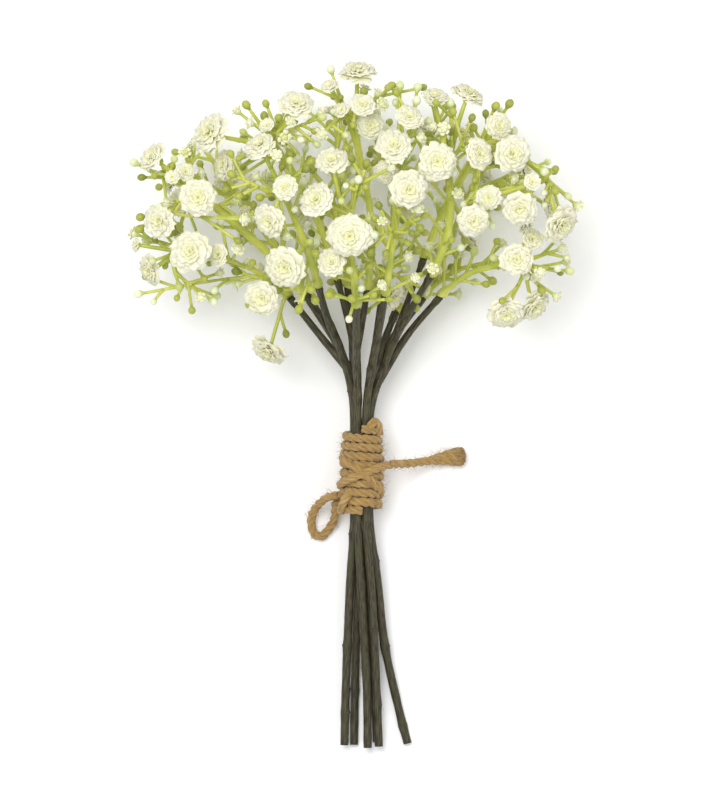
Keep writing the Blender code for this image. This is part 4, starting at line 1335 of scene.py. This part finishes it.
def draw_winding():
    """The turns, the crossing strands and the knot as one piece. Returns how the two free twines start."""
    bm = new_mesh()
    route, pressed = winding_route()
    lay_plies(bm, route, [bundle_outward(p) for p in route], 0.0, None, pressed, SIDE_FILL)
    starts = []
    for points in (TAIL_STRAND, LOOP_STUB, CROSS_STRAND, KNOT_STRAND, RETURN_STUB, EAR_STRAND):
        strand = strand_route(points)
        starts.append(lay_plies(bm, strand, [bundle_outward(p) for p in strand]))
    finish_piece("jute_winding_twine", bm, [jute_material()], ["jute_winding"])
    return starts[:2]


class BUNCH_OT_twine(bpy.types.Operator):
    """Winds the jute twine, with its crossing strands, its free tail and its loop"""

    bl_idname = "bunch.twine"
    bl_label = "Wind Twine"

    def execute(self, context):
        (tail_phase, tail_side), (loop_phase, loop_side) = draw_winding()
        tail, loop = twine_routes()
        far = length_of(tail)
        widths = [flare(gone / far) for gone in distances(tail)]
        bm = new_mesh()
        lay_plies(bm, tail, free_outward(tail, tail_side), tail_phase, widths)
        lift_to_floor(bm)
        piece = finish_piece("jute_tail_twine", bm, [jute_material()], ["jute_tail"])
        bm = new_mesh()
        lay_plies(bm, loop, free_outward(loop, loop_side), loop_phase)
        lift_to_floor(bm)
        piece = finish_piece("jute_loop_twine", bm, [jute_material()], ["jute_loop"])
        return {"FINISHED"}


# Loose fibres: thinner in life, and drawn as coarse as they need to show, and the tuft at the cut end
FIBRE_SEED = 77
FIBRE_R = 0.07
FIBRE_LENGTHS = (1.4, 4.2)
WINDING_FIBRES = 420
FREE_FIBRES = 80
TUFT_FIBRES = 170
TUFT_START = 0.74
TUFT_R = 3.9
TUFT_ROUND = 2.4
TUFT_FIBRE_R = 0.2


def draw_fibre(bm, foot, out, way, rng):
    """A short curled fibre that stands off the twine."""
    length = rng.uniform(*FIBRE_LENGTHS)
    lean = way * rng.choice((-1, 1))
    start = (out * rng.uniform(0.3, 1.0) + lean * rng.uniform(0.3, 1.0)).normalized()
    curl = (lean * rng.uniform(-0.6, 1.0) + out.cross(way) * rng.uniform(-0.8, 0.8)).normalized()
    points = [foot]
    for k in range(1, 5):
        points.append(points[-1] + (start + curl * k * 0.22).normalized() * length / 4)
    sweep(bm, points, [FIBRE_R * (1 - 0.16 * k) for k in range(5)], 3)


def draw_tuft(bm, route, rng):
    """The cut end of the tail, where its plies come undone into a round tuft."""
    gone = distances(route)
    first = next(k for k, far in enumerate(gone) if far > TUFT_START * gone[-1])
    way = route_directions(route)[-1]
    side, other = across(way)
    for _ in range(TUFT_FIBRES):
        turn, out = rng.uniform(0, 2 * math.pi), math.sqrt(rng.random())
        spoke = (side * math.cos(turn) + other * math.sin(turn)) * out
        over = way * (TUFT_ROUND * math.sqrt(1 - 0.95 * out * out) + rng.uniform(-0.5, 0.3))
        points = [route[first] + spoke * TUFT_R * 0.4,
                  route[(first + len(route)) // 2] + spoke * TUFT_R * 0.8,
                  route[-1] + spoke * TUFT_R * rng.uniform(0.9, 1.04) + over]
        fibre = smooth_route(points, 1.2)
        sweep(bm, fibre, [TUFT_FIBRE_R] * (len(fibre) - 1) + [TUFT_FIBRE_R / 2], 4)


def draw_fibres(name, route, outward, half, count, rng, all_round, tuft=False):
    """The loose fibres of one run of twine, all round it or on its outer side alone, as a piece."""
    bm = new_mesh()
    ways = route_directions(route)
    for _ in range(count):
        k = rng.randrange(2, len(route) - 2)
        side = outward[k]
        other = ways[k].cross(side)
        turn = rng.uniform(-math.pi, math.pi) if all_round else rng.gauss(0, 0.7)
        out = side * math.cos(turn) + other * math.sin(turn)
        draw_fibre(bm, route[k] + out * half(k) * 0.9, out, ways[k], rng)
    if tuft:
        draw_tuft(bm, route, rng)
    lift_to_floor(bm)
    return finish_piece(name, bm, [jute_material()], [])


class BUNCH_OT_fibres(bpy.types.Operator):
    """Adds the loose fibres that stand off the jute"""

    bl_idname = "bunch.fibres"
    bl_label = "Add Loose Fibres"

    def execute(self, context):
        rng = random.Random(FIBRE_SEED)
        route, pressed = winding_route()
        draw_fibres("jute_winding_fibres", route, [bundle_outward(p) for p in route],
                    lambda k: TWINE_R * pressed[k], WINDING_FIBRES, rng, False)
        tail, loop = twine_routes()
        gone = distances(tail)
        draw_fibres("jute_tail_fibres", tail, free_outward(tail, UP),
                    lambda k: TWINE_R * flare(gone[k] / gone[-1]), FREE_FIBRES, rng, True, True)
        draw_fibres("jute_loop_fibres", loop, free_outward(loop, UP),
                    lambda k: TWINE_R, FREE_FIBRES, rng, True)
        return {"FINISHED"}


# The picture: its middle on the surface and how much of it the long side shows
VIEW_MIDDLE = Vector((1.96, 4.3, 40.0))
VIEW_SIDE = 310.0
VIEW_FAR = 5000.0
SENSOR = 36.0


class BUNCH_OT_stage(bpy.types.Operator):
    """Sets the pale floor, the soft lights and the camera that looks straight down"""

    bl_idname = "bunch.stage"
    bl_label = "Set Stage"

    def execute(self, context):
        look = context.scene.bunch_stage
        scene = context.scene
        bm = bmesh.new()
        bmesh.ops.create_grid(bm, x_segments=1, y_segments=1, size=look.floor_half)
        mesh = bpy.data.meshes.new("floor")
        bm.to_mesh(mesh)
        bm.free()
        floor = bpy.data.objects.new("floor", mesh)
        made, tree = new_material("white_paper_sweep")
        surface(tree, Base_Color=(*look.floor, 1.0), Roughness=0.9)
        mesh.materials.append(made)
        scene.collection.objects.link(floor)
        world = bpy.data.worlds.new("soft_studio")
        scene.world = world
        world.use_nodes = True
        background = world.node_tree.nodes["Background"]
        background.inputs["Color"].default_value = (*look.sky, 1.0)
        background.inputs["Strength"].default_value = look.sky_strength
        for name, place, size, power in (
                ("key_softbox", (-0.35, 0.45, 1.9), 1.0, look.key_power),
                ("fill_softbox", (0.9, -0.5, 1.5), 1.6, look.fill_power)):
            light = bpy.data.lights.new(name, "AREA")
            light.size = size
            light.energy = power
            lamp = bpy.data.objects.new(name, light)
            lamp.location = place
            lamp.rotation_euler = (-Vector(place)).to_track_quat("-Z", "Y").to_euler()
            scene.collection.objects.link(lamp)
        data = bpy.data.cameras.new("camera_above")
        data.sensor_width = SENSOR
        data.lens = SENSOR * VIEW_FAR / VIEW_SIDE
        data.clip_end = 3 * VIEW_FAR * MM
        camera = bpy.data.objects.new("camera_above", data)
        camera.location = (VIEW_MIDDLE + UP * VIEW_FAR) * MM
        scene.collection.objects.link(camera)
        scene.camera = camera
        scene.view_settings.view_transform = "Standard"
        return {"FINISHED"}


def colour_property(name, description, hex_colour):
    """A colour that a user may change, from its sRGB hex value."""
    return bpy.props.FloatVectorProperty(name=name, description=description, subtype="COLOR", size=3,
                                         min=0.0, max=1.0, default=linear(hex_colour))


def length_property(name, description, millimetres):
    """A size that a user may change, from millimetres."""
    return bpy.props.FloatProperty(name=name, description=description, unit="LENGTH", min=0.0,
                                   precision=5, default=millimetres * MM)


class StemLook(bpy.types.PropertyGroup):
    bark: colour_property("Bark", "The dark ground of the stems", "#2b271a")
    streaks: colour_property("Streaks", "The paler streaks along the stems", "#5f5942")
    olive: colour_property("Olive", "The greener patches", "#484a2c")
    streak: length_property("Streak width", "The width of one streak", 0.5)
    tint_patch: length_property("Patch", "The size of a greener patch", 9.0)


class StalkLook(bpy.types.PropertyGroup):
    yellow: colour_property("Yellow", "The yellower parts of the stalks", "#d0d365")
    green: colour_property("Green", "The greener parts of the stalks", "#b0b94b")
    shade: colour_property("Shade", "The darker grain of the stalks", "#98a13c")
    tint_patch: length_property("Patch", "How slowly yellow turns to green", 12.0)


class BloomLook(bpy.types.PropertyGroup):
    petal: colour_property("Petal", "The face of the petals", "#f0edd9")
    petal_shade: colour_property("Petal shade", "The creamier petals", "#e9e7ca")
    heart: colour_property("Heart", "The tint of the innermost petals", "#e4e3a8")
    claw: colour_property("Claw", "The yellow-green at the foot of each petal", "#d1d37b")
    tint_patch: length_property("Patch", "The size of a creamier patch", 5.0)
    glow: length_property("Glow", "How far light spreads inside a petal", 0.8)


class BudLook(bpy.types.PropertyGroup):
    pale_tip: colour_property("Pale tip", "The tip of the pale buds", "#e4e8cb")
    pale_base: colour_property("Pale base", "The foot of the pale buds", "#c0c86c")
    green_tip: colour_property("Green tip", "The tip of the green buds", "#a9ae48")
    green_base: colour_property("Green base", "The foot of the green buds", "#a8b046")
    dark: colour_property("Dark", "The darkest of the green buds", "#828a33")


class TwineLook(bpy.types.PropertyGroup):
    light: colour_property("Light", "The pale fibres", "#bd9f64")
    dark: colour_property("Dark", "The dull fibres", "#86632d")
    warm: colour_property("Warm", "The warmer patches", "#a98546")
    fibre: length_property("Fibre width", "The width of a bundle of fibres that shows", 0.28)


class StageLook(bpy.types.PropertyGroup):
    floor: colour_property("Floor", "The pale floor", "#fafafa")
    sky: colour_property("Sky", "The soft light from all round", "#ffffff")
    sky_strength: bpy.props.FloatProperty(name="Sky strength", default=0.6, min=0.0,
                                          description="How bright the light from all round is")
    key_power: bpy.props.FloatProperty(name="Key", default=26.0, min=0.0,
                                       description="The power of the main softbox, in watts")
    fill_power: bpy.props.FloatProperty(name="Fill", default=7.0, min=0.0,
                                        description="The power of the second softbox, in watts")
    floor_half: length_property("Floor half", "Half the side of the floor", 4000.0)


LOOKS = {"bunch_stems": StemLook, "bunch_stalks": StalkLook, "bunch_blooms": BloomLook,
         "bunch_buds": BudLook, "bunch_twine": TwineLook, "bunch_stage": StageLook}
OPERATORS = (BUNCH_OT_stage, BUNCH_OT_twine, BUNCH_OT_stems, BUNCH_OT_stalks, BUNCH_OT_blooms, BUNCH_OT_buds,
             BUNCH_OT_fibres)


class BUNCH_PT_panel(bpy.types.Panel):
    """The pieces of the bunch and their finish"""

    bl_idname = "BUNCH_PT_panel"
    bl_label = "Tied Gypsophila Bunch"
    bl_space_type = "VIEW_3D"
    bl_region_type = "UI"
    bl_category = "Bunch"

    def draw(self, context):
        for kind in OPERATORS:
            self.layout.operator(kind.bl_idname)
        for name, look in LOOKS.items():
            column = self.layout.column(align=True)
            column.label(text=name.replace("bunch_", "").capitalize())
            for key in look.__annotations__:
                column.prop(getattr(context.scene, name), key)


def register():
    """Registers the looks, the operators and the panel, and hangs each look on the scene."""
    for kind in (*LOOKS.values(), *OPERATORS, BUNCH_PT_panel):
        bpy.utils.register_class(kind)
    for name, look in LOOKS.items():
        setattr(bpy.types.Scene, name, bpy.props.PointerProperty(type=look))


def unregister():
    """Undoes register."""
    for name in LOOKS:
        delattr(bpy.types.Scene, name)
    for kind in reversed((*LOOKS.values(), *OPERATORS, BUNCH_PT_panel)):
        bpy.utils.unregister_class(kind)


def write_size():
    """Brings the view layer up to date for the finished bunch."""
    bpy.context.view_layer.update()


def main():
    """Draws the whole bunch on its stage."""
    register()
    bpy.ops.bunch.stage()
    bpy.ops.bunch.twine()
    bpy.ops.bunch.stems()
    bpy.ops.bunch.stalks()
    bpy.ops.bunch.blooms()
    bpy.ops.bunch.buds()
    bpy.ops.bunch.fibres()
    write_size()


if __name__ == "__main__":
    main()
